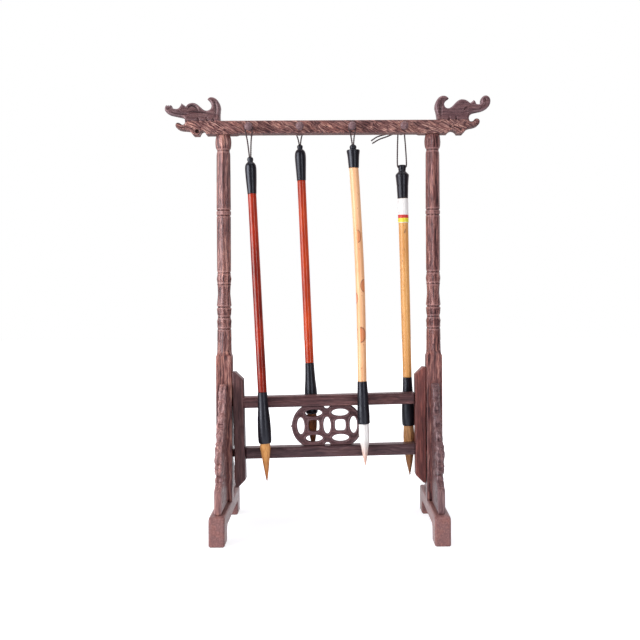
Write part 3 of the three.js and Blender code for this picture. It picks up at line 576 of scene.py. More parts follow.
# Posts: one length of hardwood each, square below and turned above. Eight hollow flutes are
# planed down the turned part, broken by bulbs and rings. A tenon at each end is hidden.
POST_FOOT = FOOT_HIGH + 0.2
SQUARE_HALF = 7.9
SQUARE_TOP = 172
POST_TOP = 391.5
FLUTES = 8
FLUTE_DEPTH = 0.09
BULBS = [
    (172.0, 7.1), (177.0, 7.35), (197.4, 6.95), (198.3, 6.3), (200.0, 7.05), (202.6, 6.95),
    (206.0, 7.35), (209.2, 6.4), (210.8, 6.3), (213.0, 6.9), (217.6, 7.25), (218.6, 7.4),
    (219.6, 6.4), (220.6, 6.4), (221.6, 7.4), (224.0, 7.1), (233.5, 6.25), (241.8, 6.6),
    (242.6, 6.9), (243.4, 6.7), (248.5, 7.4), (252.6, 6.6), (253.4, 6.8), (254.4, 6.3),
    (256.4, 6.95), (262.0, 7.05), (310.2, 7.1), (311.2, 6.2), (312.2, 7.3), (315.4, 7.3),
    (316.4, 6.2), (317.4, 7.2), (345.0, 7.1), (371.5, 6.95), (374.0, 6.7), (375.4, 6.2),
    (376.6, 6.2), (378.0, 7.2), (380.6, 7.9), (384.4, 8.15), (388.0, 7.8), (390.6, 7.2),
    (391.5, 7.0),
]
RINGS = [198.3, 209.9, 220.1, 242.6, 254.2, 311.2, 316.4, 375.9]
POST_SHADES = {"left": (1.19, 1.07, 1.02), "right": (1.1, 0.95, 0.94)}


def round_rings(radius, high, angle):
    """Rings about the Z axis, from a radius for each height and angle."""
    return np.stack(np.broadcast_arrays(radius * np.cos(angle), radius * np.sin(angle), high), -1)


def post_rings():
    """Radius over height and angle. Below, half over the 16-norm of cosine and sine, a
    square with soft corners. Above, the bulbs' radius less 9% of the sine of four times the
    angle, which are eight hollow flutes with sharp ridges; the flutes fade at the rings."""
    high = np.concatenate([np.linspace(POST_FOOT, 171, 50), np.arange(171.6, POST_TOP, 0.6),
                           [POST_TOP]])[:, None]
    angle = np.linspace(0, 2 * math.pi, 96, endpoint=False) + math.pi / 96
    square = SQUARE_HALF / (np.abs(np.cos(angle)) ** 16 + np.abs(np.sin(angle)) ** 16) ** (1 / 16)
    bulb = np.interp(high, *np.array(BULBS).T)
    fade = np.minimum(1, np.abs(high - np.array(RINGS)).min(1, keepdims=True) / 2.2) ** 1.5
    turned = bulb * (1 - FLUTE_DEPTH * fade * np.abs(np.sin(FLUTES / 2 * angle)))
    share = np.clip((high - SQUARE_TOP + 1) / 6, 0, 1)
    return round_rings(square * (1 - share) + turned * share, high, angle)


def ring_marks(high):
    """How much painted shade each point gets in a ring's groove, and how much painted highlight
    on the edges 1.5 mm above and below it: bells exp(-(gap / 0.7)^2) and
    exp(-((gap - 1.5) / 0.6)^2)."""
    gap = np.abs(high[..., None] - np.array(RINGS)).min(-1)
    return 1.2 * np.exp(-(gap / 0.7) ** 2), 0.42 * np.exp(-((gap - 1.5) / 0.6) ** 2)


for side, word in ((-1, "left"), (1, "right")):
    rings = post_rings() + np.array([side * FOOT_X, 0, 0])
    shaft = mesh_piece(f"{word}_fluted_post", *skin(rings),
                       hardwood(f"{word}_post_wood", "Z", 21 + side, 0.45, POST_SHADES[word],
                                0.86))
    # Painted shade in the ring grooves and a painted highlight on the edges beside them
    for attribute, values in zip(("carved", "painted_highlight"), ring_marks(rings[..., 2])):
        mark(shaft, attribute, np.append(values, [0, 0]))
    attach(shaft, "stand")
    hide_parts(f"{word}_post")

# Brackets: a carved plate 7 mm thick before and behind each post, standing on the foot. Its
# outer edge falls in knobbly scallops to a scroll and a plain upright toe.
BRACKET_FROM = 8.1
BRACKET_THICK = 7
BRACKET_HIGH = 117.4
BRACKET_REACH = 52
SCROLL_LEVEL = BRACKET_HIGH * 0.46
TOE = 22
BRACKET_SHADES = {"left": (1.35, 1.4, 1.45), "right": (0.7, 0.76, 0.86)}


def bracket_outline():
    """y out from the post and z up from the foot, with five scallops down the long back."""
    def nick(share):
        """The inner corner between two scallops, at a share of the way down the back."""
        return (8.6 + (BRACKET_REACH - 14.6) * (0.4 * share + 0.6 * share ** 2),
                BRACKET_HIGH - 2 - (BRACKET_HIGH - 2 - SCROLL_LEVEL) * share)

    moves = [[(0, BRACKET_HIGH - 1)], [(4, BRACKET_HIGH + 1), nick(0)]]
    for k in range(5):
        (y0, z0), (y1, z1) = nick(k / 5), nick((k + 1) / 5)
        moves.append([(max(y0, y1) + 2.2, (z0 + z1) / 2 + 2.2), (y1, z1)])
    reach, low = BRACKET_REACH, SCROLL_LEVEL
    moves += [
        [(reach - 3.4, low - 5), (reach - 6.4, low - 8)],
        [(reach - 3, low - 10), (reach - 6.2, low - 13)],
        [(reach - 3.6, low - 16), (reach - 8, low - 18.6)],
        [(reach - 15, TOE + 9.5), (reach - 5, TOE + 2.6)], [(reach - 1, TOE + 1.6), (reach, TOE)],
        [(reach, 0)],
    ]
    return trace((0, 0), *moves)


def facing_out(outline, way):
    """The outline as it is for a way of 1, and its mirror image for a way of -1."""
    return outline if way > 0 else outline[::-1] * np.array([-1, 1])


def gouge(u, v, line, width, depth):
    """Depth of a cut along a smooth line: depth times the bell exp(-(gap / width)^2), with
    the cut running out towards both ends."""
    path = smooth_line(line, 40)
    gaps = np.hypot(u[:, None] - path[:, 0], v[:, None] - path[:, 1])
    best = gaps.argmin(1)
    taper = np.sin(math.pi * (0.04 + 0.92 * best / 39)) ** 0.5
    return depth * taper * np.exp(-(gaps.min(1) / (width * taper)) ** 2)


def bracket_carving(y, z, gap):
    """A line cut 4 mm inside the edge, three long lines up the plate beside the post, and a
    leaf between two scrolls: at each point, the deepest of the cuts."""
    depth = 0.55 * np.exp(-((gap - 4.0) / 0.55) ** 2)
    for line, width, cut in BRACKET_CUTS:
        depth = np.maximum(depth, gouge(np.abs(y) - BRACKET_FROM, z - POST_FOOT, line, width, cut))
    return depth


def knobbly(piece, seed):
    """The plate's outer edge made rough, as the gouge left it: each point is moved across and
    out by a sum of sine waves 6 to 15 mm long, not near the post or in the upright toe."""
    rng = np.random.default_rng(seed)
    x, y, z = positions(piece).T / MM
    free = np.clip((np.abs(y) - 9) / 5, 0, 1) * np.clip((z - POST_FOOT - TOE - 2) / 6, 0, 1)

    def waves(*axes):
        """The mean of three sine waves, each along its own random way across the axes."""
        total = 0
        for length in (6.2, 8.6, 14.6):
            angle = rng.uniform(0, math.pi)
            run = axes[0] * math.cos(angle) + axes[1] * math.sin(angle)
            total = total + np.sin(2 * math.pi * run / length + rng.uniform(0, 6.3))
        return total / 3

    across = np.sign(x) * waves(y, z) * np.clip(np.abs(x) / 2, 0, 1)
    out = np.sign(y) * waves(x * 1.6, z)
    put(piece, np.stack([x + 0.8 * free * across, y + 1.1 * free * out, z], -1) * MM)


# A cut is a line of points out from the post and up from the foot, its width and its depth.
BRACKET_CUTS = [
    ([(5, 8), (6, 40), (4.6, 78), (5, 104)], 0.9, 0.8),
    ([(10, 8), (12, 36), (10, 66), (8, 92)], 0.9, 0.8),
    ([(16, 8), (20, 30), (24, 52), (16, 76)], 1.0, 0.8),
    ([(36, 44), (41, 42), (42, 36), (37, 33), (33, 37), (36, 40)], 1.0, 0.9),
    ([(24, 10), (28, 22), (35, 27), (30, 33), (26, 44)], 1.0, 0.8),
    ([(33, 9), (37, 17), (45, 18), (46, 11), (41, 10), (41, 14)], 1.0, 0.9),
]

for side, word in ((-1, "left"), (1, "right")):
    for way, end in ((-1, "front"), (1, "back")):
        outline = facing_out(bracket_outline() + np.array([BRACKET_FROM, POST_FOOT]), way)
        # The plate's edges get a painted highlight, as strong as the last argument says.
        plate = sawn_board(
            f"{word}_{end}_bracket", [outline], BRACKET_THICK, 1.6, 0.6, "side",
            hardwood(f"bracket_{word}_{end}_wood", "Z", 31 + 2 * side + way, 0.5,
                     BRACKET_SHADES[word], 0.6), bracket_carving, courses=7, highlight_amount=0.3)
        knobbly(plate, 35 + 2 * side + way)
        move(plate, side * FOOT_X)
        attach(plate, "stand")
        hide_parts(f"bracket_{word}_{end}")

# Rails: two bars between the side boards. Each has a thinner tenon that goes on through the
# board into the post. They and the panel between them sit 1.2 degrees out of level.
RAIL_TURN = math.radians(1.2)
RAIL_MIDDLE = 101.6
RAIL_DEEP = 14
RAIL_HIGH = 10.8
TENON_DEEP = 8.5
TENON_HIGH = 6.4
TENON_END = 102.6
# Each rail is (name, level of its underside, left and right shoulder, shade of its wood).
RAILS = [("lower_rail", 71.0, -84.0, 85.3, (0.42, 0.44, 0.54)),
         ("upper_rail", 121.4, -85.0, 85.3, (0.54, 0.48, 0.54))]


def rounded_section(deep, high, radius, corner=5):
    """A rectangle with quarter-circle corners, in the order of a turn about +X."""
    angle = np.linspace(0, math.pi / 2, corner)
    arc = np.stack([np.cos(angle), np.sin(angle)], -1) * radius
    centre = np.array([deep / 2 - radius, high / 2 - radius])
    quarter = arc + centre
    upper_left = quarter[::-1] * (-1, 1)
    lower_left = quarter * (-1, -1)
    lower_right = quarter[::-1] * (1, -1)
    return np.vstack([quarter, upper_left, lower_left, lower_right])


def out_of_level(points, angle=RAIL_TURN, x=0.0, z=RAIL_MIDDLE):
    """Points turned about the Y direction through (x, z), the right end going up."""
    points = np.array(points, float)
    across, upright = points[..., 0] - x, points[..., -1] - z
    points[..., 0] = x + across * math.cos(angle) - upright * math.sin(angle)
    points[..., -1] = z + across * math.sin(angle) + upright * math.cos(angle)
    return points


for name, low, left, right, shade in RAILS:
    full = rounded_section(RAIL_DEEP, RAIL_HIGH, 0.9)
    thin = rounded_section(TENON_DEEP, TENON_HIGH, 0.5)
    stations = [-TENON_END, left - 0.02, *np.linspace(left, right, 90), right + 0.02, TENON_END]
    rings = np.stack([
        np.column_stack([np.full(len(full), x), full if left <= x <= right else thin])
        for x in stations])
    rings[:, :, 2] += low + RAIL_HIGH / 2
    bar = mesh_piece(name + "_bar", *skin(out_of_level(rings)),
                     hardwood(name + "_wood", "X", 61 + int(low), 0.5, shade, 0.55))
    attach(bar, "stand")
    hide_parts(name)

# Side boards: a board against the inner face of each post, its two inner corners cut off.
# The rails go through it into the post. The left one leans, and gapes from its post below.
BOARD_INSIDE = 85.5
BOARD_THICK = 10.5
BOARD_DEEP = 15
BOARD_LOW = 43
BOARD_HIGH = 114.5
BOARD_CUT = 7.6
# How far each board sits to the right and up, and its lean in degrees.
BOARD_SITS = {"left": (1.0, -2.0, 1.3), "right": (0.0, 2.0, 0.0)}
BOARD_SHADES = {"left": (0.5, 0.46, 0.5), "right": (0.95, 0.58, 0.52)}

for side, word in ((-1, "left"), (1, "right")):
    outline = trace(
        (0, BOARD_CUT), [(BOARD_CUT, 0)], [(BOARD_THICK, 0)], [(BOARD_THICK, BOARD_HIGH)],
        [(BOARD_CUT, BOARD_HIGH)], [(0, BOARD_HIGH - BOARD_CUT)])
    outline = facing_out(outline + np.array([BOARD_INSIDE, BOARD_LOW]), side)
    across, upright, lean = BOARD_SITS[word]
    middle = (outline.min(0) + outline.max(0)) / 2
    outline = out_of_level(outline, math.radians(lean), *middle) + (across, upright)
    # The board's edges get a painted highlight, as strong as the last argument says.
    board = sawn_board(f"{word}_board", [outline], BOARD_DEEP, 0.6, 0.6, "front",
                       hardwood(f"{word}_board_wood", "Z", 51 + side, 0.35,
                                BOARD_SHADES[word], 0.5), highlight_amount=0.12)
    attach(board, "stand")
    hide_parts(f"side_board_{word}")

# Coin panel: a pierced board between the rails, sawn as two old round coins that overlap,
# each with a square hole and four long petals round it. Its holes have eased edges.
COIN_RADIUS = 22.1
COIN_SPACING = 26.3
COIN_APART = COIN_SPACING / 2
PANEL_X = -2.2
PANEL_THICK = 7
PANEL_HALF = 19.6
PANEL_NOTCH = 2.9
UPRIGHT_PETAL = (3.6, 8.5)
LEVEL_PETAL = (8.4, 3.6)
PETAL_LEVEL = 12.6


def arc(x, z, wide, high, start, stop, count=40):
    """Points on an ellipse, from one angle to another in degrees."""
    angle = np.radians(np.linspace(start, stop, count, endpoint=abs(stop - start) < 360))
    return np.stack([x + wide * np.cos(angle), z + high * np.sin(angle)], -1)


def square_hole(x):
    """A hole 10.2 wide and 11.2 high, with sides that bow out a little and round corners."""
    wide, high, cut = 5.1, 5.6, 3.0
    return trace(
        (x - wide, -high + cut), [(x - wide - 0.3, 0), (x - wide, high - cut)],
        [(x - wide, high), (x - wide + cut, high)], [(x, high + 0.3), (x + wide - cut, high)],
        [(x + wide, high), (x + wide, high - cut)], [(x + wide + 0.3, 0), (x + wide, -high + cut)],
        [(x + wide, -high), (x + wide - cut, -high)], [(x, -high - 0.3), (x - wide + cut, -high)],
        [(x - wide, -high), (x - wide, -high + cut)])[:-1]


flat_end = math.degrees(math.asin(PANEL_HALF / COIN_RADIUS))
panel_outline = np.vstack([
    arc(0, PANEL_HALF, PANEL_NOTCH, PANEL_NOTCH, 0, -180, 14),
    arc(-COIN_APART, 0, COIN_RADIUS, COIN_RADIUS, 180 - flat_end, 177, 30),
    [(-COIN_APART - COIN_RADIUS - 1.1, 0)],
    arc(-COIN_APART, 0, COIN_RADIUS, COIN_RADIUS, 183, 180 + flat_end, 30),
    arc(0, -PANEL_HALF, PANEL_NOTCH, PANEL_NOTCH, 180, 0, 14),
    arc(COIN_APART, 0, COIN_RADIUS, COIN_RADIUS, -flat_end, flat_end, 60),
])
panel_holes = [arc(k * COIN_SPACING, 0, *UPRIGHT_PETAL, 0, 360) for k in (-1, 0, 1)]
panel_holes += [arc(x, z, *LEVEL_PETAL, 0, 360)
                for x in (-COIN_APART, COIN_APART) for z in (-PETAL_LEVEL, PETAL_LEVEL)]
panel_holes += [square_hole(-COIN_APART), square_hole(COIN_APART)]


def panel_carving(u, v, gap):
    """A bead is left round every hole, and the web between the beads is lowered."""
    return 0.5 * np.clip((gap - 1.5) / 0.7, 0, 1)


# The panel's edges and holes get a painted highlight, as strong as the last argument says.
panel = sawn_board("pierced_coins", [panel_outline, *panel_holes], PANEL_THICK, 1.2, 0.36,
                   "front", hardwood("coin_panel_wood", "X", 71, 0.4, (0.5, 0.46, 0.54), 0.4),
                   panel_carving, highlight_amount=0.34)
move(panel, PANEL_X, RAIL_MIDDLE)
put(panel, out_of_level(positions(panel) / MM) * MM)
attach(panel, "stand")
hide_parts("coin_panel")

# Beam: the bar along the top. The lower jaw and the beard of a beast are sawn on each end,
# and lines and pits are carved there. Its figure is the wildest of all the wood.
BEAM_THICK = 15
BEAM_TOP = 405.25
BEAM_BOTTOM = 392.5
PAD_BOTTOM = 391.7
MOUTH = 143
CARVED_FROM = 95
BEAM_EDGE = 1.0
LIP_EDGE = 2.6
BEAM_SLANT = -0.5

# x goes out from the corner of the mouth. The lip is drawn up from the top of the beam, and
# the beard from the foot of the pad over the post. The two ends were not carved alike.
JAWS = {
    "right": {
        "mouth": -2.6,
        "lip": [
            [(-2.2, -1.4), (-0.4, -1.6)], [(1.4, -1.7), (2.6, 0)], [(3.6, 1.4), (5.4, 1.3)],
            [(8.2, 1.2), (8.2, -2.2)], [(7.6, -6.2), (1, -7.4)]],
        "beard": [
            [(-2.6, 5.8), (-4.6, 4.6)], [(-8.8, -0.3)], [(-14.4, -0.3)], [(-16, 3), (-19.3, 3.4)],
            [(-22.4, 3.2), (-24.4, 0)]],
    },
    "left": {
        "mouth": -1,
        "lip": [
            [(-1.2, -3), (1.2, -3.5)], [(2.6, -3.4), (3.8, -2.2)], [(5, -1.3), (6.6, -1.4)],
            [(8.7, -1.8), (8.5, -4.6)], [(7.6, -8.2), (0.6, -8.9)]],
        "beard": [
            [(-4, 4.7), (-5.6, 4.2)], [(-9.2, -0.5)], [(-14.8, -0.5)], [(-16.2, 3.8), (-18.6, 4)],
            [(-20.6, 3.8), (-22.2, 0)]],
    },
}


def beam_half(jaw):
    """One half of the beam's outline, from the middle of its top to the middle of its foot."""
    lip = [[(MOUTH + x, BEAM_TOP + z) for x, z in move] for move in jaw["lip"]]
    beard = [[(MOUTH + x, PAD_BOTTOM + z) for x, z in move] for move in jaw["beard"]]
    return trace((0, BEAM_TOP), [(MOUTH + jaw["mouth"], BEAM_TOP)], *lip, *beard,
                 [(91, PAD_BOTTOM)], [(89, BEAM_BOTTOM)], [(0, BEAM_BOTTOM)])


# A cut is a line, its width and its depth. A pit is (x, z, radius, depth), and a notch is
# the x of its foot and how far its head leans out. All are measured from the mouth.
JAW_CUTS = {
    "right": [
        ([(-18, -6.4), (-14, -8), (-10, -10)], 0.9, 1.1),
        ([(-12, -4.6), (-8, -6.4), (-6.4, -8.4)], 0.7, 0.8),
        ([(-8.4, -3.4), (-4.4, -5.2), (-2.6, -6.8)], 0.7, 0.7),
        ([(-5.4, -6.2), (0, -5.4), (4.4, -4.2), (6, -1.8)], 0.9, 0.9),
        ([(-24, -9), (-20.4, -7.6), (-17.4, -5.2), (-12, -3.4)], 0.8, 0.7),
    ],
    "left": [
        ([(6.6, -4.4), (2.4, -6.2), (-3, -6.2), (-7.6, -6.6)], 0.9, 1.3),
        ([(-8.6, -7.6), (-10.4, -9.6), (-11, -12)], 0.8, 0.9),
        ([(-17.6, -7.4), (-21.4, -8.2), (-26, -10.6), (-33, -11.6)], 0.9, 0.9),
        ([(-2.4, -4.4), (-4.6, -5), (-9.4, -5.4)], 0.8, 0.6),
    ],
}
PITS = {
    "right": [(-20.8, -6.6, 1.3, 1.5), (-17.0, -6.8, 0.9, 1.3), (-10.8, -9.6, 1.3, 1.5)],
    "left": [(6.2, -2.8, 0.8, 1.2), (-13.3, -10.3, 1.9, 3.6)],
}
NOTCHES = {
    "right": [(-22.2, 0.0), (-15.3, 0.0)],
    "left": [(-15.4, 1.6), (-24.0, 1.6), (-30.0, 0.6)],
}


def notch_depth(word, x, z):
    """The small cuts that cross the joint between a head and the beam."""
    depth = np.zeros(len(x))
    for place, slant in NOTCHES[word]:
        line = [(place + slant, 3.4), (place + slant / 2, 1), (place, -0.8)]
        depth = np.maximum(depth, gouge(x, z, line, 0.8, 1.6))
    return depth


def kept_square(gap, to_joint, edge):
    """Minus the rounding of an edge where the nearest border is the joint, so that the two
    pieces meet there without a groove: full where gap equals the distance to the joint."""
    return -rounded_drop(gap, edge) * np.clip(1 - (to_joint - gap) / 0.8, 0, 1)


def beam_carving(u, v, gap):
    """The cuts and pits of each end, a wider rounding of the lip, and no rounding of the
    top under a head."""
    depth = np.zeros(len(u))
    for side, word in ((-1, "left"), (1, "right")):
        end = np.flatnonzero(side * u > CARVED_FROM)
        x = side * u[end] - MOUTH
        z = v[end] - BEAM_TOP
        cut = notch_depth(word, x, z)
        for line, width, deep in JAW_CUTS[word]:
            cut = np.maximum(cut, gouge(x, z, line, width, deep))
        for px, pz, radius, deep in PITS[word]:
            cut = np.maximum(cut, deep * np.exp(-(np.hypot(x - px, z - pz) / radius) ** 4))
        lip = np.clip((x + 4) / 3, 0, 1)
        cut += lip * (rounded_drop(gap[end], LIP_EDGE) - rounded_drop(gap[end], BEAM_EDGE))
        under_head = (x > -35) & (x < -2)
        cut += np.where(under_head, kept_square(gap[end], np.maximum(-z, 0), BEAM_EDGE), 0)
        depth[end] = cut
    return depth


right_half = beam_half(JAWS["right"])
left_half = beam_half(JAWS["left"])[-2:0:-1] * (-1, 1)
beam = sawn_board("carved_beam", [np.vstack([right_half, left_half])], BEAM_THICK, BEAM_EDGE,
                  0.5, "front",
                  hardwood("beam_wood", "X", 81, 0.9, (1.27, 1.23, 1.2), 1.15, BEAM_SLANT, 1.8),
                  beam_carving)
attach(beam, "stand")
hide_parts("beam")

# Heads: a block glued on each end of the beam and carved as the head of a beast, with a
# snout, a spike, a brow and a horn. The right one has a smooth cheek and a curled snout, and
# the left one a blunt snout, a line from it to the horn, and a hollow under the brow.
HEAD_THICK = 12
HEAD_EDGE = 2.8
HEAD_LEVEL = BEAM_TOP + 0.2
HEAD_FOOT = -0.18
HEAD_SHADES = {"left": (0.7, 0.8, 0.94), "right": (0.78, 0.84, 1.0)}

# x goes out from the corner of the mouth and z up from the beam, from the foot of the horn
# over the hump and the spike to the snout and back to the mouth.
HEAD_OUTLINES = {
    "right": [
        (-33.8, HEAD_FOOT), [(-34.4, 6), (-36.2, 12)], [(-36.4, 18.5), (-32.6, 24.3), (-27.4, 24.3)],
        [(-24.2, 24.2), (-22.3, 21.4)], [(-25.8, 19.8), (-26.9, 16)], [(-26.4, 12), (-23, 11.7)],
        [(-17.6, 12), (-15.6, 20.5), (-9, 20.6)], [(-4.6, 20.6), (-3, 18.4), (-1, 17)],
        [(0.6, 17.6), (2.7, 19.8)], [(4.3, 18.8), (5, 16.2)], [(6.6, 15.2), (8.8, 15.3), (9.7, 17)],
        [(9.2, 20.4), (10.6, 24.1), (14.6, 24.3)], [(18.8, 24.2), (20.25, 19.4), (18.6, 15.4)],
        [(17.2, 11.8), (13.6, 9.8), (9, 8.6)], [(4, 7.6), (1.6, 7)],
        [(-1.2, 5.8), (-2.8, 3.4), (-2.6, HEAD_FOOT)]],
    "left": [
        (-35.8, HEAD_FOOT), [(-35.2, 6.5), (-36.2, 12.5)], [(-36.2, 18), (-32.6, 23.9), (-27, 24)],
        [(-24.6, 24), (-23.2, 21.9)], [(-26, 20), (-27.2, 15.6)], [(-27.2, 11), (-22, 10.5)],
        [(-17.4, 10.8), (-14.6, 18.3), (-8.4, 18.4)], [(-4.8, 18.3), (-2.8, 16.8), (-1.8, 14.7)],
        [(2.7, 18)], [(3.8, 15), (5.4, 13.3)], [(7.2, 12), (10.6, 12.2), (12.5, 13.8)],
        [(12.2, 16.4), (13.8, 16.2)], [(14.6, 15.3)], [(15.3, 16.3)], [(16.3, 15.6)],
        [(17.2, 16.6), (18.65, 15.5)], [(19.85, 12.6), (19.05, 10.6)],
        [(18, 8.6), (15.4, 6.9), (11.6, 6.1)], [(7, 5.1), (3.6, 4.4)],
        [(0.6, 4), (-1, 2.4), (-1, HEAD_FOOT)]],
}

# A cut is a line, its width and its depth, and one of negative depth is a ridge.
HEAD_CUTS = {
    "right": [
        ([(-30.3, 0.6), (-30.6, 8), (-30.4, 14), (-29, 19.4), (-25.6, 22.4)], 1.7, 1.1),
        ([(-20.6, 9.4), (-16.6, 12.8), (-13.2, 17), (-7, 18)], 0.9, 0.5),
        ([(-8.2, 7.4), (-5.6, 11.6), (-3, 12.9), (2.4, 12.6)], 0.8, 1.0),
        ([(-3, 9), (3, 9.6), (9, 11), (14, 14.4), (15.2, 18.6)], 0.9, 0.9),
        ([(-1, 13.6), (4, 13.4), (8.6, 13.2)], 0.8, 0.6),
        ([(13.2, 17.2), (14.2, 20), (13.4, 22.2)], 0.8, 0.9),
    ],
    "left": [
        ([(-31, 0.8), (-31.8, 8), (-31.8, 14), (-30.2, 19.6), (-26, 22.4)], 1.6, 1.0),
        ([(-4.4, 12), (-6, 14.6), (-8.6, 15.4), (-12, 13.4), (-14.6, 10)], 1.4, 1.5),
        ([(13, 9), (8, 7.6), (0, 6.7), (-3.6, 7.2)], 1.2, 1.3),
        ([(-3.6, 8.4), (-8, 9), (-14, 8.8), (-20, 8.2), (-29.4, 7.2)], 1.2, 1.3),
        ([(-1.6, 5), (-8, 4.6), (-14, 5.7), (-20, 5.4), (-26, 4.4)], 1.1, 0.9),
        ([(13, 13.4), (15.4, 12.2), (17.8, 13.4)], 0.8, 1.1),
        ([(5.6, 12), (9, 11), (12.4, 11.6), (15, 13.6)], 0.8, 1.0),
        ([(1.8, 13), (3, 15.4), (3.4, 17)], 0.7, 0.8),
    ],
}
RIDGES = {
    "right": [([(-6, 9.6), (0, 11), (6, 11.6), (11, 13.8)], 0.9, -0.5)],
    "left": [([(3, 9), (-3, 9.4), (-8, 10.6), (-12, 10.9)], 0.9, -0.8),
             ([(11, 10.2), (6, 9.4), (1, 9)], 0.8, -0.5)],
}


def head_carving(word, x, z, gap):
    """The cuts and ridges of one head, its notches, and its foot, which thickens to the
    beam's own thickness over the last 7 mm and isn't rounded."""
    depth = notch_depth(word, x, z)
    for line, width, deep in HEAD_CUTS[word]:
        depth = np.maximum(depth, gouge(x, z, line, width, deep))
    for line, width, deep in RIDGES[word]:
        depth += gouge(x, z, line, width, deep)
    swell = np.clip(1 - z / 7, 0, 1)
    depth -= 1.45 * swell ** 2 * (3 - 2 * swell)
    return depth + kept_square(gap, z - HEAD_FOOT, HEAD_EDGE)


for side, word in ((-1, "left"), (1, "right")):
    outline = trace(*HEAD_OUTLINES[word], steps=14) + np.array([MOUTH, HEAD_LEVEL])
    # The head's edges get a painted highlight, as strong as the last argument says.
    head = sawn_board(f"{word}_beast_head", [facing_out(outline, side)], HEAD_THICK, HEAD_EDGE,
                      0.36, "front",
                      hardwood(f"{word}_head_wood", "X", 91 + side, 0.5, HEAD_SHADES[word], 0.36),
                      lambda u, v, gap: head_carving(word, side * u - MOUTH, v - HEAD_LEVEL, gap),
                      highlight_amount=0.3)
    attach(head, "stand")
    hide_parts(f"dragon_head_{word}")

# Pegs: eight turned pegs, four in each face of the beam, with a waist for the loop and a
# domed head. Their stems are glued into the beam, and painted shade darkens them under the dome.


def turned(profile, sides=48):
    """Rings about the Z axis through a profile of (radius, height), from its low end up."""
    radius, high = np.array(profile, float).T[..., None]
    return round_rings(radius, high, np.arange(sides) * 2 * math.pi / sides)


peg_wood = hardwood("peg_wood", "Y", 101, 0.4, (1.14, 1.5, 1.78), 0.3)
PEG_RADIUS = 4.0
dome = [(PEG_RADIUS * math.cos(a), 9.5 + 2.9 * math.sin(a)) for a in np.linspace(0, 1.5, 12)]
# Each profile's points are (radius, height over the face of the beam).
PEG_PROFILE = [
    (2.2, -4), (2.2, 0.1), (2.95, 0.15), (3.05, 0.5), (2.8, 1.1), (2.5, 1.6), (2.42, 4),
    (2.45, 6.6), (3.2, 6.9), (3.8, 7.4), (PEG_RADIUS, 8.2), *dome,
]
PEG_NECK = 8.0
for way, row in ((-1, "front"), (1, "back")):
    for i, place in enumerate(PEG_ROWS[row]):
        x, y, z = np.moveaxis(turned(PEG_PROFILE, 32), -1, 0)
        rings = np.stack([place + x, way * (BEAM_THICK / 2 + z), PEG_AXIS - way * y], -1)
        peg = mesh_piece(f"{row}_turned_peg_{i + 1}", *skin(rings), peg_wood)
        # Painted shade: the carved attribute darkens the stem and waist under the dome
        mark(peg, "carved", np.append(np.where(z < PEG_NECK, 1.4, 0), [0, 0]))
        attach(peg, "stand")
        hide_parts(f"{row}_peg_{i + 1}")

# Caps: black horn, turned and polished, glued on the top of each handle. The first two are
# bullets with a small knob, the third is a trumpet under a round eye, and the fourth is a
# spool over a long cone. The cord comes out of the top.
horn = Finish("black_horn")
horn_streaks = horn.fibres(horn.place, (1, 1, 0.06), 700.0, 3.0)
horn_clouds = horn.noise(horn.place, 120.0).outputs[0]
horn.feed(horn.shader, {
    "Base Color": horn.ramp(horn_streaks, [(0.35, srgb(10, 10, 15)), (0.75, srgb(28, 27, 35))]),
    "Roughness": horn.calc("MULTIPLY_ADD", horn_clouds, 0.08, 0.28),
    "Specular IOR Level": 0.6, "Specular Tint": (0.82, 0.86, 1, 1),
})

CAP_LONG = [32, 31.5, 17.2, 28.4]
KNOB_TOPS = [-loop for loop in LOOPS]
CAP_TOPS = [top - high for top, high in zip(KNOB_TOPS, KNOB_HEIGHTS)]
CAP_FEET = [top - long for top, long in zip(CAP_TOPS, CAP_LONG)]

# Each profile is (radius, depth under the top of the knob), from the top down.
CAP_PROFILES = [
    [(0.9, 0), (2.1, 0.15), (2.75, 0.8), (3.05, 2.0), (2.95, 3.4), (2.6, 4.4), (2.8, 5.0),
     (3.75, 5.7), (4.7, 6.8), (5.35, 8.4), (5.65, 10.8), (5.65, 13), (5.5, 18), (5.15, 25),
     (4.72, 31.5), (4.55, 34.6), (4.45, 36)],
    [(0.9, 0), (2.1, 0.2), (2.85, 0.9), (3.0, 1.9), (2.85, 3.2), (2.45, 4.2), (2.6, 4.6),
     (3.8, 5.3), (4.75, 6.6), (5.4, 8.6), (5.7, 11.6), (5.65, 15), (5.4, 20.5), (5.05, 27),
     (4.78, 33), (4.65, 36.1)],
    [(0.9, 0), (2.3, 0.35), (3.2, 1.3), (3.5, 2.6), (3.2, 3.8), (2.7, 4.7), (3.0, 5.0),
     (6.1, 5.2), (6.5, 5.5), (6.55, 6.3), (6.3, 8), (5.9, 10.4), (5.6, 13.9), (5.35, 17.9),
     (5.15, 21), (5.05, 22.8)],
    [(1.0, 0), (3.3, 0.1), (4.0, 0.5), (4.2, 1.2), (3.9, 2.2), (3.75, 2.8), (3.9, 3.5),
     (4.0, 4.2), (3.7, 5.4), (3.6, 6.4), (4.2, 7.3), (5.45, 8.5), (6.4, 9.5), (6.85, 10.2),
     (6.9, 10.8), (6.6, 13.2), (6.2, 17.6), (5.95, 21), (5.7, 21.6), (5.9, 22.2), (5.7, 27),
     (5.45, 32), (5.4, 34)],
]


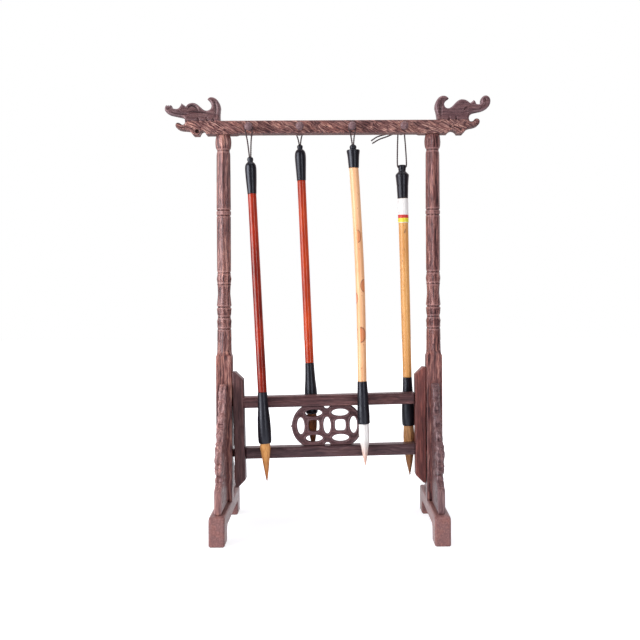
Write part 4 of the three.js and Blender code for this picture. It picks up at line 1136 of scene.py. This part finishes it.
def eased(profile, spacing=0.35):
    """The profile's corners softened: points along it at an even spacing, each averaged
    twice with its two neighbours. Its ends stay."""
    profile = np.array(profile, float)
    run = np.concatenate([[0], np.cumsum(np.linalg.norm(np.diff(profile, axis=0), axis=1))])
    places = np.linspace(0, run[-1], max(int(run[-1] / spacing), 8))
    line = np.stack([np.interp(places, run, axis) for axis in profile.T], -1)
    for _ in range(2):
        line[1:-1] = (line[:-2] + 2 * line[1:-1] + line[2:]) / 4
    return line


def cap_dome(i):
    """Rings of a cap from its foot up."""
    profile = eased(CAP_PROFILES[i])[::-1]
    return turned(np.column_stack([profile[:, 0], KNOB_TOPS[i] - profile[:, 1]]))


for i in range(4):
    cap = mesh_piece(f"brush_{i + 1}_horn_cap", *skin(hung(cap_dome(i), i)), horn.material)
    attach(cap, f"brush_{i + 1}")
    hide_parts(f"brush_{i + 1}_cap")

# Handles: bamboo canes, glued into the caps. The first two are lacquered, dark red and
# orange red, the third is pale bamboo with burnt half-round spots and is a little bowed,
# and the fourth is plain golden bamboo.
# HANDLE_TOPS and HANDLE_FEET are the thicknesses of the two ends.
HANDLE_LONG = [195, 185.6, 209.8, 181.8]
HANDLE_TOPS = [8.6, 8.6, 9.1, 9.9]
HANDLE_FEET = [8.8, 8.6, 8.7, 8.9]
HANDLE_BOWS = [0, 0, 1.8, 0]
HANDLE_ENDS = [foot - long for foot, long in zip(CAP_FEET, HANDLE_LONG)]


def cane_rings(i):
    """Rings of a handle from its foot up, the radius going evenly from one end's to the
    other's, with a faint swelling twice along it."""
    share = np.linspace(0, 1, 420)
    radius = (HANDLE_FEET[i] * (1 - share) + HANDLE_TOPS[i] * share) / 2
    radius = radius + 0.05 * np.sin(share * 4 * math.pi + i)
    high = HANDLE_ENDS[i] + (HANDLE_LONG[i] - 0.2) * share
    return turned(np.column_stack([radius, high]), 96)


def bowed(rings, i):
    """A handle pushed to the right by its bow times half a turn of sine along its length."""
    share = np.clip((rings[..., 2] - HANDLE_ENDS[i]) / HANDLE_LONG[i], 0, 1)
    return rings + HANDLE_BOWS[i] * np.sin(math.pi * share)[..., None] * (1, 0, 0)


def lacquered(name, dark, light, fleck, shift):
    """Glossy lacquer over bamboo: two shades that stream along the cane, and dark flecks."""
    coat = Finish(name)
    place = coat.add("Mapping", {"Vector": coat.place, "Location": (shift, 0, 0)}).outputs[0]
    streaks = coat.fibres(place, (1, 1, 0.05), 620.0, 4.0, 0.6)
    clouds = coat.fibres(place, (1, 1, 0.3), 90.0, 3.0)
    value = coat.calc("MULTIPLY_ADD", clouds, 0.7, coat.calc("MULTIPLY", streaks, 0.35))
    colour = coat.ramp(value, [(0.38, dark), (0.66, light)])
    flecks = coat.fibres(place, (1, 1, 0.35), 520.0)
    colour = coat.mix(coat.calc("MULTIPLY", coat.step(flecks, 0.7, 0.76), 0.5), colour, fleck)
    coat.feed(coat.shader, {
        "Base Color": colour, "Roughness": 0.22, "Specular IOR Level": 0.4,
        "Coat Weight": 0.35, "Coat Roughness": 0.08,
        "Normal": coat.bump(streaks, 0.12, 0.0001),
    })
    return coat.material


def bamboo(name, pale, deep, fleck, shift):
    """Bare bamboo: fine pale and deep fibres along the cane, small brown flecks, and the
    burnt spots where the attribute spot says, with a darker rim where rim says."""
    cane = Finish(name)
    place = cane.add("Mapping", {"Vector": cane.place, "Location": (shift, 0, 0)}).outputs[0]
    fibres = cane.fibres(place, (1, 1, 0.02), 1500.0, 3.0)
    clouds = cane.fibres(place, (1, 1, 0.25), 80.0, 3.0)
    value = cane.calc("MULTIPLY_ADD", clouds, 0.6, cane.calc("MULTIPLY", fibres, 0.4))
    colour = cane.ramp(value, [(0.35, deep), (0.62, pale)])
    flecks = cane.fibres(place, (1, 1, 0.5), 420.0, 1.0)
    colour = cane.mix(cane.calc("MULTIPLY", cane.step(flecks, 0.7, 0.76), 0.7), colour, fleck)
    spot = cane.add("Attribute", attribute_name="spot").outputs["Fac"]
    rim = cane.add("Attribute", attribute_name="rim").outputs["Fac"]
    burnt = cane.mix(clouds, srgb(224, 138, 84), srgb(202, 108, 62))
    colour = cane.mix(cane.calc("MULTIPLY", spot, 0.9), colour, burnt)
    colour = cane.mix(cane.calc("MULTIPLY", rim, 0.85), colour, srgb(122, 58, 34))
    cane.feed(cane.shader, {
        "Base Color": colour, "Roughness": 0.38, "Coat Weight": 0.35, "Coat Roughness": 0.22,
        "Normal": cane.bump(fibres, 0.15, 0.0001),
    })
    return cane.material


HANDLE_SLOTS = ["dark_red_lacquer", "orange_lacquer", "spotted_bamboo", "golden_bamboo"]
HANDLE_MAKERS = [lacquered, lacquered, bamboo, bamboo]
HANDLE_COLOURS = [
    (srgb(98, 12, 6), srgb(170, 44, 16), srgb(60, 12, 10), 0.3),
    (srgb(158, 36, 10), srgb(212, 74, 22), srgb(110, 28, 14), 0.7),
    (srgb(246, 192, 142), srgb(232, 164, 114), srgb(190, 110, 66), 1.1),
    (srgb(238, 176, 102), srgb(216, 146, 74), srgb(140, 82, 38), 1.9),
]

# Each spot is (level down from the foot of the cap, angle of its flat side seen from above
# with -90 to the front, half height, width round the cane, the way that it bulges).
SPOTS = [
    (15.5, -18, 6, 2.6, 1), (67.5, -96, 6.4, 3.4, 1), (116, -34, 6.6, 4.4, -1),
    (164, -106, 7.8, 6.0, 1), (204, -20, 3, 2.2, 1), (40, 70, 6, 4, 1), (92, 150, 6.5, 5, -1),
    (140, 100, 7, 5, 1), (186, 160, 6, 4, -1), (128, -178, 6, 4, 1),
]


def spot_maps(i):
    """How far each point of the third cane lies in a spot and on a spot's rim. A spot is a
    half oval: its height shrinks with the root of 1 less the squared share of its width."""
    rings = cane_rings(i)
    high = rings[..., 2]
    angle = np.degrees(np.arctan2(rings[..., 1], rings[..., 0]))
    radius = np.hypot(rings[..., 0], rings[..., 1])
    fill = np.zeros(high.shape)
    rim = np.zeros(high.shape)
    for down, flat_side, half, wide, way in SPOTS:
        round_way = (angle - flat_side + 180) % 360 - 180
        share = way * np.radians(round_way) * radius / wide
        level = (high - (CAP_FEET[i] - down)) / half
        bulge = np.sqrt(np.clip(share, 0, None) ** 2 + level ** 2)
        inside = np.clip((1 - bulge) * 8, 0, 1) * np.clip(share * 8 + 0.5, 0, 1)
        line = np.exp(-((bulge - 0.93) / 0.08) ** 2) * (share > 0)
        fill = np.maximum(fill, inside)
        rim = np.maximum(rim, line)
    return fill, rim


for i in range(4):
    finish = HANDLE_MAKERS[i](HANDLE_SLOTS[i], *HANDLE_COLOURS[i])
    handle = mesh_piece(f"brush_{i + 1}_cane", *skin(hung(bowed(cane_rings(i), i), i)), finish)
    if HANDLE_SLOTS[i] == "spotted_bamboo":
        for word, values in zip(("spot", "rim"), spot_maps(i)):
            mark(handle, word, np.append(values, [0, 0]))
    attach(handle, f"brush_{i + 1}")
    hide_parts(f"brush_{i + 1}_handle")

# Ferrules: black horn sockets glued on the foot of each handle. They swell towards the hair
# and are drawn in again at the mouth. Their sizes are those of top, swelling and mouth.
FERRULE_LONG = [50.6, 51.8, 42, 49.2]
FERRULE_SIZES = [(9.2, 13.3, 11.8), (9.0, 13.2, 11.2), (9.4, 12.1, 11.2), (9.2, 13.3, 11.9)]
FERRULE_FEET = [end - long for end, long in zip(HANDLE_ENDS, FERRULE_LONG)]
HAIR_ROOTS = [9.9, 9.6, 9.8, 10.5]


def ferrule_rings(i):
    """Rings from inside the mouth, over its lip and up to the handle. The outside follows
    the top, the swelling and the mouth, with a smooth step between them."""
    top, widest, mouth = (size / 2 for size in FERRULE_SIZES[i])
    root = HAIR_ROOTS[i] / 2
    long = FERRULE_LONG[i]
    profile = eased([
        (root - 0.5, 3), (root, 2), (root + 0.05, 0.3), (mouth - 0.35, 0), (mouth, 0.25),
        (mouth + 0.45, 1.2), (widest - 0.1, 4.2), (widest, 7), (widest - 0.1, long * 0.3),
        (widest - 0.5, long * 0.48), (top + 0.75, long * 0.66), (top + 0.3, long * 0.82),
        (top + 0.05, long * 0.95), (top, long - 0.3), (top - 0.3, long - 0.2),
    ])
    return turned(np.column_stack([profile[:, 0], FERRULE_FEET[i] + profile[:, 1]]))


for i in range(4):
    ferrule = mesh_piece(f"brush_{i + 1}_horn_ferrule", *skin(hung(ferrule_rings(i), i)),
                         horn.material)
    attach(ferrule, f"brush_{i + 1}")
    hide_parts(f"brush_{i + 1}_ferrule")

# Tufts: animal hair tied in a bundle, glued in the ferrule and drawn to a point when wet.
# The bundle is one body with fine furrows, and loose hairs lie on it.
# A belly is its thickness, and its share of the length down from the root. The tapers are
# shares of that thickness: a quarter and a half of the way up from the tip, and twice as
# far from the root as the belly.
HAIR_LONG = [37.4, 39, 41.4, 51]
HAIR_BELLIES = [(9.9, 0.12), (9.8, 0.16), (10.0, 0.2), (11.2, 0.24)]
HAIR_TAPERS = [(0.36, 0.63, 0.86), (0.42, 0.74, 0.94), (0.42, 0.74, 0.94), (0.5, 0.84, 0.92)]
HAIR_TIPS = [foot - long for foot, long in zip(FERRULE_FEET, HAIR_LONG)]
FURROW_DEPTH = 0.018
HAIR_SLOTS = ["golden_hair", "dark_hair", "white_hair", "brown_hair"]
HAIR_COLOURS = [
    (srgb(244, 182, 108), srgb(212, 140, 72), srgb(196, 112, 66)),
    (srgb(176, 104, 52), srgb(120, 64, 28), srgb(100, 54, 26)),
    (srgb(255, 254, 252), srgb(250, 244, 240), srgb(240, 176, 146)),
    (srgb(232, 176, 120), srgb(184, 128, 78), srgb(146, 92, 58)),
]


def hair_finish(i):
    """Hair: fine pale and deep strands that run along it, darker towards the tip."""
    pale, deep, tip = HAIR_COLOURS[i]
    hair = Finish(HAIR_SLOTS[i])
    strands = hair.fibres(hair.place, (1, 1, 0.03), 2400.0, 3.0)
    colour = hair.mix(hair.step(strands, 0.35, 0.65), deep, pale)
    high = hair.add("SeparateXYZ", {0: hair.place}).outputs[2]
    foot = (PEG_AXIS + FERRULE_FEET[i]) * MM
    end = (PEG_AXIS + HAIR_TIPS[i]) * MM
    towards_tip = hair.step(high, foot - 0.35 * (foot - end), end)
    colour = hair.mix(hair.calc("MULTIPLY", towards_tip, 0.8), colour, tip)
    hair.feed(hair.shader, {
        "Base Color": colour, "Roughness": 0.55, "Sheen Weight": 0.15,
        "Normal": hair.bump(strands, 0.3, 0.0003),
    })
    return hair.material


def hair_radius(i, share):
    """Radius of the tuft at a share of its length from the tip: a drawn-out point, a belly
    near the root, and the root itself, joined by straight stretches."""
    belly, at = HAIR_BELLIES[i]
    root = HAIR_ROOTS[i] / 2 - 0.2
    quarter, middle, upper = HAIR_TAPERS[i]
    drawn_in = root / (belly / 2)
    stops = [0, 0.06, 0.25, 0.5, 1 - 2 * at, 1 - at, 1, 1.2]
    sizes = np.array([0.03, 0.13, quarter, middle, upper, 1.0, drawn_in, drawn_in])
    return np.interp(share, stops, sizes * belly / 2)


def tuft_rings(i):
    """Rings from the tip up into the ferrule. The radius is multiplied by 1 plus the furrows'
    depth times a sum of five sine waves round the tuft."""
    share = np.linspace(0, 1.1, 90)
    angle = np.arange(96) * 2 * math.pi / 96
    rng = np.random.default_rng(300 + i)
    waves = sum(rng.uniform(0.4, 1) * np.sin(k * angle + rng.uniform(0, 6.3))
                for k in (5, 9, 14, 23, 31))
    radius = hair_radius(i, share)[:, None] * (1 + FURROW_DEPTH * waves)
    high = HAIR_TIPS[i] + share * HAIR_LONG[i]
    return round_rings(radius, high[:, None], angle)


def loose_hairs(i, count=110, sides=3, joints=8):
    """Thin tapered hairs that lie on the tuft: each starts at a share of its length, runs
    down it with a slight slant, and lifts off it with the cube of the share of its own run."""
    rng = np.random.default_rng(400 + i)
    begin = rng.uniform(0.55, 1.02, count)[:, None]
    reach = rng.uniform(0.35, 0.75, count)[:, None]
    run = np.linspace(0, 1, joints)
    share = np.maximum(begin - reach * run, 0.015)
    angle = rng.uniform(0, 2 * math.pi, count)[:, None] + rng.normal(0, 0.12, count)[:, None] * run
    lift = 0.06 + rng.uniform(0.02, 0.3, count)[:, None] * run ** 3
    radius = hair_radius(i, share) + lift
    spine = np.stack([radius * np.cos(angle), radius * np.sin(angle),
                      HAIR_TIPS[i] + share * HAIR_LONG[i]], -1)
    turn = np.arange(sides) * 2 * math.pi / sides
    thick = 0.075 * (1 - 0.75 * run)[None, :, None]
    around = np.stack([thick * np.cos(turn), thick * np.sin(turn),
                       np.zeros((1, joints, sides))], -1)
    rings = (spine[:, :, None] + around)[:, ::-1]
    return joined(skin(hung(hair, i)) for hair in rings)


for i in range(4):
    finish = hair_finish(i)
    tuft = mesh_piece(f"brush_{i + 1}_hair", *skin(hung(tuft_rings(i), i)), finish)
    strays = mesh_piece(f"brush_{i + 1}_loose_hairs", *loose_hairs(i), finish)
    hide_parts(f"brush_{i + 1}_tuft")
    for piece in (tuft, strays):
        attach(piece, f"brush_{i + 1}")

# Band: a strip of plain white paper wound round the top of the fourth handle, with a red
# and a yellow stripe at its foot.
BAND_LONG = 24.6
BAND_TOP = CAP_FEET[3] - 0.4
BAND_OUT = HANDLE_TOPS[3] / 2 + 0.42
BAND_IN = BAND_OUT - 0.3
# Each stripe goes from one level to another, down from the top of the band.
RED_STRIPE = (16.5, 19.8)
YELLOW_STRIPE = (19.8, 24.0)

band_levels = BAND_TOP - BAND_LONG * (1 - np.linspace(0, 1, 40))
band_profile = [(BAND_IN, BAND_TOP - BAND_LONG), *((BAND_OUT, high) for high in band_levels),
                (BAND_IN, BAND_TOP)]

paper = Finish("band_paper")
paper_high = paper.add("SeparateXYZ", {0: paper.place}).outputs[2]
pulp = paper.noise(paper.place, 900.0, 3.0).outputs[0]


def stripe(top, low):
    """1 between two levels down from the top of the band, in millimetres."""
    zero = (PEG_AXIS + BAND_TOP) * MM
    upper = paper.calc("LESS_THAN", paper_high, zero - top * MM)
    lower = paper.calc("GREATER_THAN", paper_high, zero - low * MM)
    return paper.calc("MULTIPLY", upper, lower)


paper_colour = paper.mix(pulp, srgb(244, 242, 238), srgb(252, 251, 249))
paper_colour = paper.mix(stripe(*RED_STRIPE), paper_colour, srgb(214, 52, 48))
paper_colour = paper.mix(stripe(*YELLOW_STRIPE), paper_colour, srgb(240, 228, 60))
paper.feed(paper.shader, {
    "Base Color": paper_colour, "Roughness": 0.5, "Coat Weight": 0.3, "Coat Roughness": 0.2,
    "Normal": paper.bump(pulp, 0.1, 0.0001),
})
band = mesh_piece("brush_4_paper_band", *skin(hung(turned(band_profile, 64), 3)), paper.material)
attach(band, "brush_4")
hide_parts("brush_4_band")
